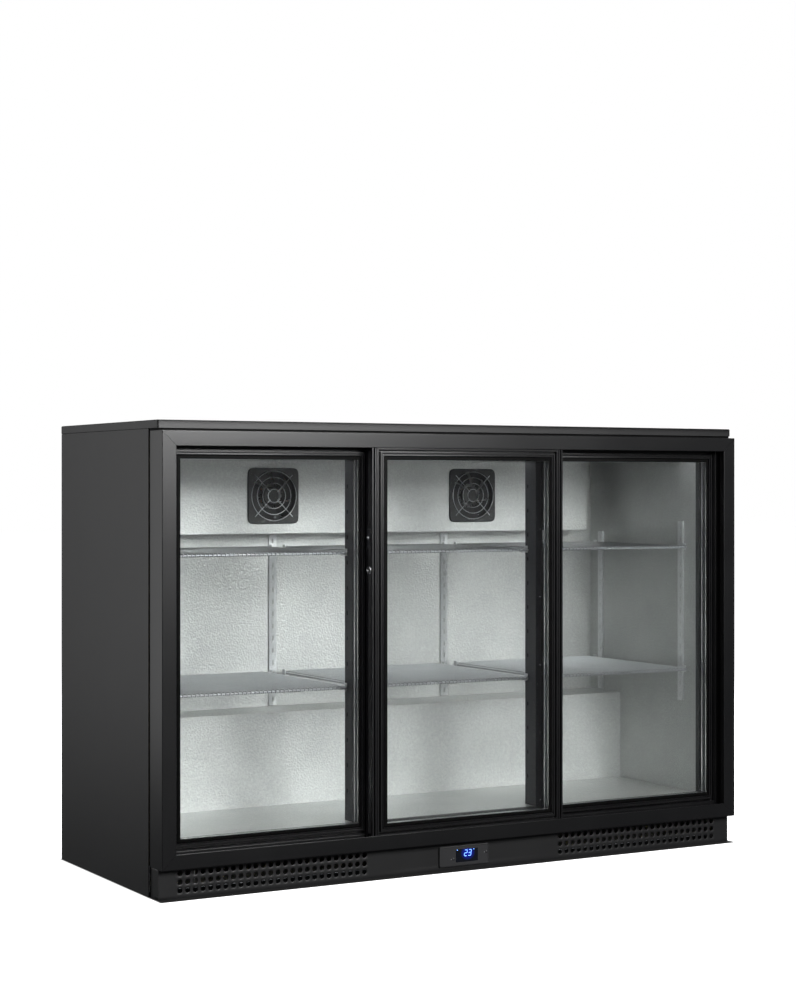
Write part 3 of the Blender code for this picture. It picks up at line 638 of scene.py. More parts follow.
@dataclass(frozen=True)
class LitFinish(Finish):
    """A surface that gives light, uneven as a diffuser or a display is."""

    glow: tuple[float, float, float] = (1.0, 1.0, 1.0)
    power: float = 1.0

    def make(self) -> bpy.types.Material:
        """The opaque finish with its own light added.

        Returns:
            The finished material.
        """
        made = super().make()
        shader = made.node_tree.nodes["Principled BSDF"]
        shader.inputs["Emission Color"].default_value = (*self.glow, 1.0)
        shader.inputs["Emission Strength"].default_value = self.power
        return made


@dataclass(frozen=True)
class HaloFinish(LitFinish):
    """A window lit from behind at one place, with the light falling off around it.

    Args:
        centre: the brightest place.
        reach: how far the light gets from it, along X, Y and Z.
    """

    centre: tuple[float, float, float] = (0.0, 0.0, 0.0)
    reach: tuple[float, float, float] = (0.01, 0.01, 0.01)

    def make(self) -> bpy.types.Material:
        """Light is power * (1 - distance / reach), and nothing beyond the reach.

        Returns:
            The finished material.
        """
        made = super().make()
        tree = made.node_tree
        place = tree.nodes.new("ShaderNodeTexCoord")
        fit = tree.nodes.new("ShaderNodeMapping")
        fit.inputs["Scale"].default_value = [1 / reach for reach in self.reach]
        fit.inputs["Location"].default_value = [-at / reach for at, reach in zip(self.centre, self.reach)]
        fall = tree.nodes.new("ShaderNodeTexGradient")
        fall.gradient_type = "SPHERICAL"
        glow = tree.nodes.new("ShaderNodeMapRange")
        glow.inputs["To Max"].default_value = self.power
        tree.links.new(place.outputs["Object"], fit.inputs["Vector"])
        tree.links.new(fit.outputs["Vector"], fall.inputs["Vector"])
        tree.links.new(fall.outputs["Fac"], glow.inputs["Value"])
        tree.links.new(glow.outputs["Result"], tree.nodes["Principled BSDF"].inputs["Emission Strength"])
        return made


POWDER = Finish(
    "black_powder_coat",
    "black_coat",
    colour=(0.011, 0.011, 0.0115),
    shade=(0.007, 0.007, 0.0075),
    roughness=(0.36, 0.46),
    scale=(900.0, 900.0, 900.0),
    relief=0.00003,
)
EXTRUSION = Finish(
    "black_anodised_frame",
    "black_frame",
    colour=(0.007, 0.007, 0.0075),
    shade=(0.004, 0.004, 0.0045),
    roughness=(0.25, 0.33),
    pattern=Pattern.DRAWN_LINES,
    scale=(260.0, 1800.0, 260.0),
    relief=0.00001,
)
UPRIGHT = Finish(
    "black_upright_coat",
    "black_upright",
    colour=(0.020, 0.020, 0.024),
    shade=(0.013, 0.013, 0.016),
    roughness=(0.38, 0.50),
    scale=(800.0, 800.0, 800.0),
    relief=0.00003,
)
MOULDED = Finish(
    "black_moulded_plastic",
    "black_plastic",
    colour=(0.020, 0.020, 0.022),
    shade=(0.013, 0.013, 0.014),
    roughness=(0.42, 0.55),
    pattern=Pattern.MOULDED,
    scale=(1500.0, 1500.0, 1500.0),
    relief=0.00003,
)
# black rubber for the seals; also the black of thin pads that are painted shade for the lock cylinders' key
# slot and the posts' slot holes
SEAL_AND_SHADE = Finish(
    "black_rubber_and_shade",
    "black_rubber",
    colour=(0.004, 0.004, 0.004),
    shade=(0.002, 0.002, 0.002),
    roughness=(0.45, 0.60),
    pattern=Pattern.MOULDED,
    scale=(700.0, 700.0, 700.0),
    relief=0.00005,
    specular=0.05,
)
LINER = Finish(
    "stucco_aluminium",
    "embossed_liner",
    colour=(0.58, 0.585, 0.58),
    shade=(0.46, 0.465, 0.46),
    roughness=(0.42, 0.58),
    metallic=1.0,
    pattern=Pattern.STUCCO,
    scale=(280.0, 280.0, 280.0),
    relief=0.0007,
)
BRIGHT = Finish(
    "drawn_aluminium",
    "bright_aluminium",
    colour=(0.78, 0.79, 0.80),
    shade=(0.66, 0.67, 0.68),
    roughness=(0.22, 0.36),
    metallic=1.0,
    pattern=Pattern.DRAWN_LINES,
    scale=(1500.0, 1500.0, 60.0),
    relief=0.00002,
)
FINS = Finish(
    "coil_fins",
    "coil_aluminium",
    colour=(0.72, 0.73, 0.74),
    shade=(0.52, 0.53, 0.54),
    roughness=(0.34, 0.52),
    metallic=1.0,
    pattern=Pattern.DRAWN_LINES,
    scale=(300.0, 300.0, 40.0),
    relief=0.00004,
)
WIRE = Finish(
    "zinc_wire",
    "shelf_wire",
    colour=(0.55, 0.56, 0.58),
    shade=(0.42, 0.43, 0.45),
    roughness=(0.24, 0.38),
    metallic=1.0,
    pattern=Pattern.MOULDED,
    scale=(600.0, 600.0, 600.0),
    relief=0.00002,
)
CHROME = Finish(
    "polished_chrome",
    "lock_chrome",
    colour=(0.80, 0.80, 0.82),
    shade=(0.70, 0.70, 0.72),
    roughness=(0.20, 0.32),
    metallic=1.0,
    pattern=Pattern.MOULDED,
    scale=(900.0, 900.0, 900.0),
    relief=0.00001,
)
GALVANISED = Finish(
    "galvanised_sheet",
    "galvanised_steel",
    colour=(0.62, 0.64, 0.66),
    shade=(0.44, 0.46, 0.48),
    roughness=(0.30, 0.55),
    metallic=1.0,
    pattern=Pattern.SPANGLE,
    scale=(120.0, 120.0, 120.0),
    relief=0.00001,
)
ENAMEL = Finish(
    "compressor_enamel",
    "compressor_black",
    colour=(0.018, 0.018, 0.020),
    shade=(0.010, 0.010, 0.011),
    roughness=(0.22, 0.34),
    scale=(300.0, 300.0, 300.0),
    relief=0.00008,
    coat=0.3,
)
NYLON = Finish(
    "white_nylon",
    "roller_plastic",
    colour=(0.80, 0.80, 0.77),
    shade=(0.70, 0.70, 0.66),
    roughness=(0.35, 0.50),
    pattern=Pattern.MOULDED,
    scale=(900.0, 900.0, 900.0),
    relief=0.00002,
)
RUBBER = Finish(
    "foot_rubber",
    "black_rubber",
    colour=(0.020, 0.020, 0.020),
    shade=(0.012, 0.012, 0.012),
    roughness=(0.65, 0.85),
    pattern=Pattern.MOULDED,
    scale=(500.0, 500.0, 500.0),
    relief=0.00010,
)
FOAM = Finish(
    "yellow_foam",
    "insulation",
    colour=(0.78, 0.68, 0.40),
    shade=(0.66, 0.56, 0.30),
    roughness=(0.80, 0.95),
    pattern=Pattern.STUCCO,
    scale=(400.0, 400.0, 400.0),
    relief=0.00060,
)
COPPER = Finish(
    "copper_pipe",
    "",
    colour=(0.72, 0.36, 0.22),
    shade=(0.50, 0.24, 0.14),
    roughness=(0.22, 0.42),
    metallic=1.0,
    pattern=Pattern.MOULDED,
    scale=(200.0, 200.0, 200.0),
    relief=0.00003,
)
SPACER = Finish(
    "spacer_bar",
    "black_frame",
    colour=(0.060, 0.062, 0.066),
    shade=(0.040, 0.042, 0.045),
    roughness=(0.26, 0.40),
    metallic=0.6,
    pattern=Pattern.DRAWN_LINES,
    scale=(400.0, 2000.0, 400.0),
    relief=0.00001,
)
GLASS = GlassFinish(
    "float_glass",
    "clear_glass",
    colour=(0.955, 0.963, 0.960),
    shade=(0.85, 0.86, 0.855),
    roughness=(0.0, 0.012),
    pattern=Pattern.MOULDED,
    scale=(6.0, 6.0, 6.0),
)
DIFFUSER = LitFinish(
    "frosted_lens",
    "light_diffuser",
    colour=(0.93, 0.96, 1.0),
    shade=(0.85, 0.88, 0.92),
    roughness=(0.35, 0.45),
    pattern=Pattern.DRAWN_LINES,
    scale=(40.0, 900.0, 900.0),
    glow=(0.97, 0.98, 1.0),
    power=18.0,
)
DISPLAY = HaloFinish(
    "display_window",
    "display",
    colour=(0.006, 0.007, 0.012),
    shade=(0.004, 0.005, 0.008),
    roughness=(0.10, 0.18),
    pattern=Pattern.MOULDED,
    scale=(700.0, 700.0, 700.0),
    relief=0.00001,
    glow=(0.003, 0.015, 0.42),
    power=1.1,
    centre=(0.0040, -0.2430, 0.0327),
    reach=(0.0175, 0.05, 0.0150),
)
DIGITS = LitFinish(
    "lit_digits",
    "display",
    colour=(0.30, 0.45, 0.90),
    shade=(0.25, 0.40, 0.85),
    roughness=(0.30, 0.40),
    pattern=Pattern.MOULDED,
    scale=(2000.0, 2000.0, 2000.0),
    glow=(0.13, 0.36, 1.0),
    power=2.4,
)
PRINT = Finish(
    "grey_print",
    "black_plastic",
    colour=(0.22, 0.22, 0.23),
    shade=(0.16, 0.16, 0.17),
    roughness=(0.45, 0.60),
    pattern=Pattern.MOULDED,
    scale=(2500.0, 2500.0, 2500.0),
    relief=0.00001,
)


# ---------------------------------------------------------------- pieces


def piece(
    name: str,
    shape: Shape,
    finish: Finish,
    body: str = CABINET,
    replaces: tuple[str, ...] = (),
    wall: float = 0.0,
    sharp: float = 35.0,
) -> bpy.types.Object:
    """Makes a shape into a finished object that rides on a body.

    Args:
        name: the new object's name.
        shape: in the cabinet's frame; doubles are merged and its faces turned outwards.
        finish: what it is given.
        body: the body that it rides on.
        replaces: CAD nodes that it stands for.
        wall: thickness of a Solidify step, for a sheet.
        sharp: an edge that folds by more degrees than this stays sharp.

    Returns:
        The new object, at the origin.
    """
    mesh = bpy.data.meshes.new(name)
    faces = [row for block in shape.faces for row in block.tolist()]
    mesh.from_pydata(shape.points.tolist(), [], faces)
    work = bmesh.new()
    work.from_mesh(mesh)
    bmesh.ops.remove_doubles(work, verts=work.verts, dist=0.000004)
    bmesh.ops.dissolve_degenerate(work, edges=work.edges, dist=0.000001)
    bmesh.ops.recalc_face_normals(work, faces=work.faces)
    work.to_mesh(mesh)
    work.free()
    mesh.shade_smooth()
    mesh.set_sharp_from_angle(angle=math.radians(sharp))
    mesh.materials.append(finish.material())
    made = bpy.data.objects.new(name, mesh)
    bpy.context.scene.collection.objects.link(made)
    if wall:
        step = made.modifiers.new("wall", "SOLIDIFY")
        step.thickness = wall
        step.offset = 0.0
        step.use_even_offset = True
    level = made.modifiers.new("flats", "WEIGHTED_NORMAL")
    level.keep_sharp = True
    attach(made, body)
    if replaces:
        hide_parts(*replaces)
    log.info("%s on %s: %d faces", name, body, len(mesh.polygons))
    return made


def dress(node: str, finish: Finish) -> None:
    """Gives a CAD node that stays in view its finish.

    Args:
        node: the CAD node.
        finish: what it is given.
    """
    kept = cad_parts[node]
    kept.data.materials.clear()
    kept.data.materials.append(finish.material())
    log.info("%s keeps its solid", node)


def screw_heads(places: np.ndarray, axis: str, radius: float = 0.0035) -> Shape:
    """Round screw heads with a sunk cross, one at each place.

    Args:
        places: an (n, 3) array of where the heads sit.
        axis: the way that they face.
        radius: of a head.

    Returns:
        All the heads as one shape.
    """
    dome = [(0, 0.0008), (radius * 0.25, 0.0008), (radius * 0.30, 0.0016), (radius * 0.62, 0.0015)]
    dome += [(radius * 0.9, 0.0009), (radius, 0.0002), (radius, -0.0004), (0, -0.0004)]
    head = facing(turned(dome, 12), (0, 0, 0), axis)
    return head.repeated(places)


# ---------------------------------------------------------------- cabinet


@dataclass
class OuterCase:
    """Painted side shells, folded worktop, rear sheet and base pan."""

    corner: float = 0.003
    sheet: float = 0.0012
    flange: float = 0.014
    hem: float = 0.0006
    lid_edge: float = 0.0022
    lid_corner: float = 0.004
    lid_tuck: float = 0.004
    screw_inset: float = 0.008
    hood: tuple[float, float, float] = (0.064, 0.006, 0.018)
    hood_pitch: float = 0.120
    hood_rows: tuple[float, float] = (0.160, 0.220)

    def side_shells(self) -> None:
        """Each side is a sheet bent at the rear round a small radius into a flange."""
        for name, side in (("left", -1), ("right", 1)):
            low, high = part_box("side_panel_" + name)
            outer, inner = side * CAD_BOX[1].x, side * (CAD_BOX[1].x - self.sheet)
            back = high.y + self.sheet
            turn = side * self.flange
            corners = [(outer, low.y), (outer, back), (outer - turn, back), (outer - turn, back - self.sheet)]
            corners += [(inner, back - self.sheet), (inner, low.y)]
            setbacks = [0.0004, self.corner, 0.0004, 0.0004, self.corner - self.sheet, 0.0004]
            outline = eased(corners, setbacks, 5)
            shell = prism(outline, low.z, high.z, "z")
            piece("side_shell_" + name, shell, POWDER, replaces=("side_panel_" + name,))
            heights = np.linspace(low.z + 0.05, high.z - 0.04, 5)
            x = outer - side * self.screw_inset
            places = np.stack([np.full(5, x), np.full(5, back), heights], axis=1)
            piece("side_screws_" + name, screw_heads(places, "Y"), WIRE)

    def worktop(self) -> None:
        """A lid whose outline rings run in from the hem, round the edge, to the middle of the top."""
        low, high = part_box("worktop")
        size, middle = high - low, (high + low) / 2
        soft = self.lid_edge
        angles = np.linspace(0, math.pi / 2, 6)
        inset = np.concatenate([[self.sheet, self.hem, 0.0], soft * (1 - np.cos(angles)), [0.02]])
        folded = [low.z + self.lid_tuck, low.z, low.z + self.hem]
        height = np.concatenate([folded, high.z - soft * (1 - np.sin(angles)), [high.z]])
        outline = eased(rectangle(size.x, size.y), self.lid_corner, 6)
        scale = 1 - 2 * inset[:, None, None] / np.array([size.x, size.y])[None, None]
        flat = np.array([middle.x, middle.y])[None, None] + outline[None] * scale
        rings = np.concatenate([flat, np.broadcast_to(height[:, None, None], flat.shape[:2] + (1,))], axis=2)
        piece("worktop_lid", grid(rings), POWDER, replaces=("worktop",))

    def rear(self) -> None:
        """The rear sheet keeps its solid; pressed hoods shade its vents and screws hold its edge."""
        dress("rear_panel", POWDER)
        low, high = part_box("rear_panel")
        across, up = np.linspace(0, 1, 13), np.linspace(0, 1, 7)
        u, v = np.meshgrid(across, up)
        width, depth, height = self.hood
        rise = depth * np.sin(math.pi * np.clip(u, 0, 1)) ** 0.35 * np.sin(v * math.pi / 2)
        hood = np.stack([(u - 0.5) * width, rise, (0.5 - v) * height + 0.004], axis=2)
        shape = grid(hood, around=False)
        columns, rows = np.meshgrid(np.arange(-4, 5) * self.hood_pitch, self.hood_rows)
        places = np.stack([columns.ravel(), np.full(columns.size, high.y + 0.0005), rows.ravel()], axis=1)
        piece("vent_hoods", shape.repeated(places), POWDER, wall=0.0008)
        x = np.linspace(low.x + 0.06, high.x - 0.06, 8)
        heights = (low.z + 0.01, high.z - 0.012)
        spots = [np.stack([x, np.full(8, high.y), np.full(8, z)], axis=1) for z in heights]
        piece("rear_screws", screw_heads(np.vstack(spots), "Y"), WIRE)

    def build(self) -> None:
        """All the outer sheet metal."""
        self.side_shells()
        self.worktop()
        self.rear()
        dress("base_pan", GALVANISED)
        dress("insulation_foam", FOAM)


@dataclass
class FrontFrame:
    """Four mitred lengths of one black extrusion with a front track and a rear track."""

    mitre: float = 0.0005
    flange: float = 0.0300
    soft: float = 0.0007
    lip: float = 0.0025
    web: float = 0.002
    fin: float = 0.0015
    track: float = 0.0145
    liner_wall: float = 0.0012
    throat_lip: float = 0.0016

    def section(self, face: float, depth: float) -> np.ndarray:
        """The CAD section with its edges eased and a shallow step in its lip.

        Args:
            face: width of the member's face.
            depth: from its face to its rear.

        Returns:
            The outline as an (n, 2) array.
        """
        pocket = face - self.track
        middle = self.lip + (depth - self.lip - 2 * self.fin) / 2
        last = depth - self.fin
        corners = [(0, 0), (face, 0), (face, self.lip), (pocket, self.lip), (pocket, middle), (face, middle)]
        corners += [(face, middle + self.fin), (pocket, middle + self.fin), (pocket, last), (face, last)]
        corners += [(face, depth), (pocket - self.web, depth), (pocket - self.web, self.lip)]
        corners += [(self.web, self.lip), (self.web, depth), (0, depth)]
        setback = [0.0016] + [self.soft] * 2 + [0.0004] * 2 + [self.soft] * 2 + [0.0004] * 2 + [self.soft] * 2
        setback += [0.0004] * 4 + [self.soft]
        return eased(corners, setback, 4)

    def build(self) -> None:
        """The frame, and the black strip that hides the foam behind it."""
        low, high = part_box("front_frame_left")
        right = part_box("front_frame_right")[1].x
        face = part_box("front_frame_bottom")[1].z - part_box("front_frame_bottom")[0].z
        opening = Opening(low.x, right, low.z, high.z, low.y)
        for name, shape in opening.members(self.section(face, high.y - low.y), self.mitre).items():
            piece("frame_" + name, shape, EXTRUSION, replaces=("front_frame_" + name,))
        self.throat(high.y)
        self.gasket(Vector((low.x, 0.0, high.z)), Vector((right, high.y, 0.0)))

    def throat(self, behind: float) -> None:
        """A moulded strip round the liner's mouth: a flange on the foam's rim, and a lip inside.

        Args:
            behind: the frame's rear face.
        """
        low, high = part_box("inner_liner")
        wall, lip = self.liner_wall, self.throat_lip
        mouth = Opening(low.x + wall, high.x - wall, low.z + wall, high.z - wall, behind)
        section = [(-self.flange, 0.00004), (lip, 0.00004), (lip, 0.0095)]
        section += [(HAIR, 0.0105), (HAIR, 0.0003), (-self.flange, 0.0003)]
        piece("throat_strip", mouth.ring(eased(section, 0.0001, 3)), MOULDED)

    def gasket(self, low: Vector, high: Vector) -> None:
        """A thin seal round the foam's rim, and the packing between the frame and the worktop.

        Args:
            low: the frame's least x and its top.
            high: the frame's greatest x and its rear.
        """
        foam_low, foam_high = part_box("insulation_foam")
        rim = Opening(foam_low.x, foam_high.x, foam_low.z, foam_high.z, foam_low.y)
        strip = np.array([(0.0, -0.00025), (0.020, -0.00025), (0.020, 0.0002), (0.0, 0.0002)])
        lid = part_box("worktop")[0]
        packing_low = Vector((low.x, lid.y + 0.003, low.z - HAIR))
        packing_high = Vector((high.x, high.y, lid.z + HAIR))
        packing = pad(packing_low, packing_high, 0.001, 0.0006)
        piece("frame_gasket", joined([rim.ring(strip), packing]), SEAL_AND_SHADE)


@dataclass
class KickPanel:
    """Plinth with rows of round air holes on each side of the controller."""

    columns: int = 26
    pitch: float = 0.0158
    rows: int = 3
    row_pitch: float = 0.0162
    hole: float = 0.0104
    low_edge: float = 0.0063
    sheet: float = 0.0012
    grille_inset: float = 0.048
    return_depth: float = 0.036

    def build(self) -> None:
        """One folded sheet: grilles, plain middle with the controller's opening, and end returns."""
        low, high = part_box("kick_panel")
        bezel_low, bezel_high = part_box("controller_bezel")
        outer = CAD_BOX[1].x - self.grille_inset + self.pitch / 2
        inner = outer - self.columns * self.pitch
        cell = (self.pitch, self.row_pitch)
        holes = holed_sheet(self.columns, self.rows, cell, (self.hole, self.hole))
        lines = low.z + self.low_edge + np.arange(4 * self.rows + 1) * self.row_pitch / 4
        steps = np.arange(4 * self.columns + 1) * self.pitch / 4
        y = low.y + self.sheet / 2
        edge = high.x - self.sheet / 2
        sheets = []
        for start in (-outer, inner):
            sheets.append(holes.moved(start, 0, low.z + self.low_edge))
            for z0, z1 in ((low.z, lines[0]), (lines[-1], high.z)):
                sheets.append(flat_grid(list(start + steps), [z0, z1]))
        heights = [low.z, *lines, high.z]
        gap = (bezel_low.x + 0.012, bezel_high.x - 0.012)
        hollow = (gap[0], gap[1], lines[1] - HAIR, lines[-3] + HAIR)
        sheets.append(flat_grid([-inner, gap[0], gap[1], inner], heights, hollow))
        for side in (-1, 1):
            sheets.append(flat_grid(sorted([side * outer, side * edge]), heights))
        front = joined([sheet.moved(0, y, 0) for sheet in sheets])
        x, z = np.meshgrid(np.array([0.0, 0.5, 1.0]), np.array(heights))
        depth = y + x * self.return_depth
        ends = []
        for side in (-1, 1):
            ends.append(grid(np.stack([np.full_like(z, side * edge), depth, z], axis=2), around=False))
        piece("kick_sheet", joined([front, *ends]), POWDER, replaces=("kick_panel",), wall=self.sheet)


@dataclass
class Controller:
    """Digital thermostat let into the plinth."""

    height: float = 0.042
    middle: float = 0.028
    case_half: float = 0.040
    rim: float = 0.0022
    recess: float = 0.0006
    digit_height: float = 0.0118
    digit_width: float = 0.0062
    digit_middle: float = 0.0327
    stroke: float = 0.0011
    slant: float = 0.16
    segments: dict[str, str] = field(default_factory=lambda: {"2": "abged", "3": "abgcd"})

    def bezel(self) -> None:
        """Rings of a rounded rectangle: rear, outer edge, raised rim, and the sunk face inside it."""
        low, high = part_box("controller_bezel")
        face = low.y
        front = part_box("kick_panel")[0].y
        width, height = high.x - low.x, self.height
        middle = ((low.x + high.x) / 2, self.middle)
        soft, rim = 0.0014, self.rim
        inset = np.array([0.0, 0.0, 0.3 * soft, soft, rim, rim + 0.0006])
        depth = np.array([front - HAIR, face + soft, face + 0.3 * soft, face, face, face + self.recess])
        outline = eased(rectangle(width, height), 0.0045, 6)
        scale = 1 - 2 * inset[:, None, None] / np.array([width, height])[None, None]
        flat = np.array(middle)[None, None] + outline[None] * scale
        y = np.broadcast_to(depth[:, None], flat.shape[:2])
        plate = grid(np.stack([flat[..., 0], y, flat[..., 1]], axis=2))
        case_low = Vector((middle[0] - self.case_half, front, 0.013))
        case_high = Vector((middle[0] + self.case_half, high.y, 0.043))
        case = pad(case_low, case_high, 0.002, 0.001)
        piece("thermostat_case", joined([plate, case]), MOULDED, replaces=("controller_bezel",))

    def window(self) -> None:
        """The dark window, its lit digits, the indicator dots and the printed marks."""
        low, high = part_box("display_lens")
        piece("display_window", pad(low, high, 0.0018, 0.0003), DISPLAY, replaces=("display_lens",))
        y = low.y - 0.00012
        places = {"2": -0.0008, "3": 0.0086}
        strokes = []
        for digit, x in places.items():
            strokes += [self.segment(letter, x, self.digit_middle, y) for letter in self.segments[digit]]
        dots = [(-0.0210, 0.0398, 0.0010), (0.0180, 0.0392, 0.0009)]
        for x, z, radius in dots:
            dot = turned([(0, 0.0001), (radius, 0.0001), (radius, 0), (0, 0)], 12)
            strokes.append(facing(dot, (x, y, z), "-Y"))
        piece("lit_digits", joined(strokes), DIGITS)
        marks = []
        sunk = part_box("controller_bezel")[0].y + self.recess - HAIR
        for x, z in ((-0.0347, 0.0224), (0.0438, 0.0312)):
            mark = eased([(x - 0.0012, z - 0.0010), (x + 0.0012, z - 0.0010), (x, z + 0.0012)], 0.0002, 3)
            marks.append(prism(mark, 0, 0.0002, "y").moved(0, sunk, 0))
        piece("key_marks", joined(marks), PRINT)

    def segment(self, letter: str, x: float, z: float, y: float) -> Shape:
        """One bar of a seven-segment digit, leaning over: a six-sided lozenge sheared by the slant.

        Args:
            letter: a to g, as the bars of such a digit are lettered.
            x, z: the digit's middle.
            y: the front of the bar.

        Returns:
            A closed solid.
        """
        w, h, s = self.digit_width / 2, self.digit_height / 2, self.stroke
        flat = {"a": h, "g": 0.0, "d": -h}
        upright = {"b": (w, h / 2), "c": (w, -h / 2), "e": (-w, -h / 2), "f": (-w, h / 2)}
        if letter in flat:
            reach = w - s * 0.30
            bar = [(-reach, 0), (-reach + s / 2, -s / 2), (reach - s / 2, -s / 2), (reach, 0)]
            bar += [(reach - s / 2, s / 2), (-reach + s / 2, s / 2)]
            centre = (0.0, flat[letter])
        else:
            reach = h / 2 - s * 0.30
            bar = [(0, -reach), (s / 2, -reach + s / 2), (s / 2, reach - s / 2), (0, reach)]
            bar += [(-s / 2, reach - s / 2), (-s / 2, -reach + s / 2)]
            centre = upright[letter]
        points = np.asarray(bar) + np.asarray(centre)
        points[:, 0] += self.slant * points[:, 1]
        return prism(points + np.array([x, z]), y, y + 0.0001, "y")

    def buttons(self) -> None:
        """Two domed keys that ride on their own bodies."""
        for name in ("left", "right"):
            low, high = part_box("button_" + name)
            radius, length = (high.x - low.x) / 2, high.y - low.y
            dome = [(0, length), (radius * 0.5, length - 0.0001), (radius * 0.85, length - 0.0004)]
            dome += [(radius, length - 0.0009), (radius, 0), (0, 0)]
            middle = (low + high) / 2
            key = facing(turned(dome, 24), (middle.x, high.y, middle.z), "-Y")
            piece("key_" + name, key, MOULDED, "button_" + name, ("button_" + name,))

    def build(self) -> None:
        """Case, window and keys."""
        self.bezel()
        self.window()
        self.buttons()


# ---------------------------------------------------------------- doors


@dataclass
class SlidingDoor:
    """A double-glazed door: ribbed frame, glazing beads, seals, spacer bar, panes and rollers."""

    name: str
    stile: float = 0.034
    rib: float = 0.0055
    bead_start: float = 0.0190
    seal_start: float = 0.0268
    lap: float = 0.0006
    spacer: float = 0.0050
    channel: float = 0.010
    channel_depth: float = 0.0135
    pile_inset: float = 0.007
    pile_half: float = 0.0022
    wheel: float = 0.003

    @property
    def body(self) -> str:
        """The body that it rides on."""
        return "door_" + self.name

    def opening(self) -> Opening:
        """The door's outer rectangle and its front face."""
        low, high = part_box("door_frame_" + self.name)
        return Opening(low.x, high.x, low.z, high.z, low.y)

    def section(self, thick: float) -> np.ndarray:
        """Front: two ribs, a broad rib, the bead and a fine lip; rear: a plain bead; edge: a channel.

        Args:
            thick: the door's thickness.

        Returns:
            The outline as an (n, 2) array.
        """
        r, mid, half = self.rib, thick / 2, self.channel / 2
        start, end = self.bead_start, self.seal_start
        front = [(0, 0.0), (0.0034, 0.0), (0.0037, r), (0.0063, r), (0.0066, 0.0), (0.0101, 0.0)]
        front += [(0.0103, 0.4 * r), (0.0110, 0.4 * r), (0.0112, 0.0), (0.0152, 0.0)]
        front += [(0.0155, 1.5 * r), (start - 0.0003, 1.5 * r)]
        front += [(start, 0.0), (start + 0.0034, 0.0), (start + 0.0040, 0.6 * r), (end - 0.0020, 0.6 * r)]
        front += [(end - 0.0017, 0.0008), (end - 0.0003, 0.0008), (end, 0.0034)]
        inner = [(end, mid - 0.0015), (end + 0.0018, mid - 0.0015)]
        inner += [(end + 0.0018, mid + 0.0015), (end, mid + 0.0015)]
        rear = [(end, thick - 0.0012), (end - 0.0025, thick), (0, thick)]
        edge = [(0, mid + half), (self.channel_depth, mid + half)]
        edge += [(self.channel_depth, mid - half), (0, mid - half)]
        return eased(front + inner + rear + edge, 0.00045, 3)

    def frame(self) -> None:
        """The ring of extrusion, with cover strips that close the channel in the two stiles."""
        low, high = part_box("door_frame_" + self.name)
        opening, thick = self.opening(), high.y - low.y
        ring = opening.ring(self.section(thick))
        piece("door_rail_" + self.name, ring, EXTRUSION, self.body, ("door_frame_" + self.name,))
        strips = []
        half = self.channel / 2 - HAIR
        y0, y1 = low.y + thick / 2 - half, low.y + thick / 2 + half
        for side, x in ((1, low.x), (-1, high.x)):
            near, far = x + side * 0.0001, x + side * 0.003
            outline = eased([(near, y0), (far, y0), (far, y1), (near, y1)], 0.0006, 3)
            strips.append(prism(outline, low.z + 0.016, high.z - 0.016, "z"))
        piece("stile_covers_" + self.name, joined(strips), MOULDED, self.body)

    def glazing(self) -> None:
        """Rubber wedges against both panes, the spacer bar between them, and the panes themselves."""
        outer_low, outer_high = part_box("door_glass_outer_" + self.name)
        inner_low, inner_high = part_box("door_glass_inner_" + self.name)
        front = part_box("door_frame_" + self.name)[0].y
        opening = self.opening()
        face, rear = outer_low.y - front, inner_high.y - front
        edge = self.stile + self.lap
        start, pane, touch = self.seal_start, self.stile - HAIR, 0.00002
        wedge = [(start, 0.0042), (start + 0.0008, 0.0038), (start + 0.0014, 0.0024)]
        wedge += [(start + 0.0026, 0.0022), (edge, face - 0.0006), (edge, face - touch)]
        wedge += [(pane, face), (pane, 0.0080), (start, 0.0100)]
        tail = [(start, rear - 0.0030), (pane, rear - 0.0030), (pane, rear + touch)]
        tail += [(edge, rear + touch), (edge, rear + 0.0006), (start, rear + 0.0018)]
        seals = [opening.ring(eased(wedge, 0.0003, 3)), opening.ring(eased(tail, 0.0003, 3))]
        piece("glazing_seals_" + self.name, joined(seals), SEAL_AND_SHADE, self.body)
        inside, outside = outer_high.y - front, inner_low.y - front
        near, far = self.stile - self.spacer, self.stile + self.lap
        bar = [(near, inside + HAIR), (far, inside + HAIR), (far + 0.0004, (inside + outside) / 2)]
        bar += [(far, outside - HAIR), (near, outside - HAIR)]
        piece("spacer_bar_" + self.name, opening.ring(eased(bar, 0.0006, 3)), SPACER, self.body)
        for pane in ("outer", "inner"):
            dress("door_glass_" + pane + "_" + self.name, GLASS)

    def brushes(self) -> None:
        """Pile seals down the rear of each stile: a row of fine tufts drawn as a ridged strip."""
        low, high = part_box("door_frame_" + self.name)
        z = np.linspace(low.z + 0.020, high.z - 0.020, 260)
        ridge = 0.0003 * (1 + np.sin(z * 2 * math.pi / 0.0062))
        strips = []
        back = np.full_like(z, high.y - HAIR)
        for x in (low.x + self.pile_inset, high.x - self.pile_inset):
            left = np.stack([np.full_like(z, x - self.pile_half), back, z], axis=1)
            tip = np.stack([np.full_like(z, x), high.y + 0.0002 + ridge * 0.3, z], axis=1)
            right = np.stack([np.full_like(z, x + self.pile_half), back, z], axis=1)
            strips.append(grid(np.stack([left, tip, right], axis=1)))
        piece("pile_seals_" + self.name, joined(strips), SEAL_AND_SHADE, self.body)

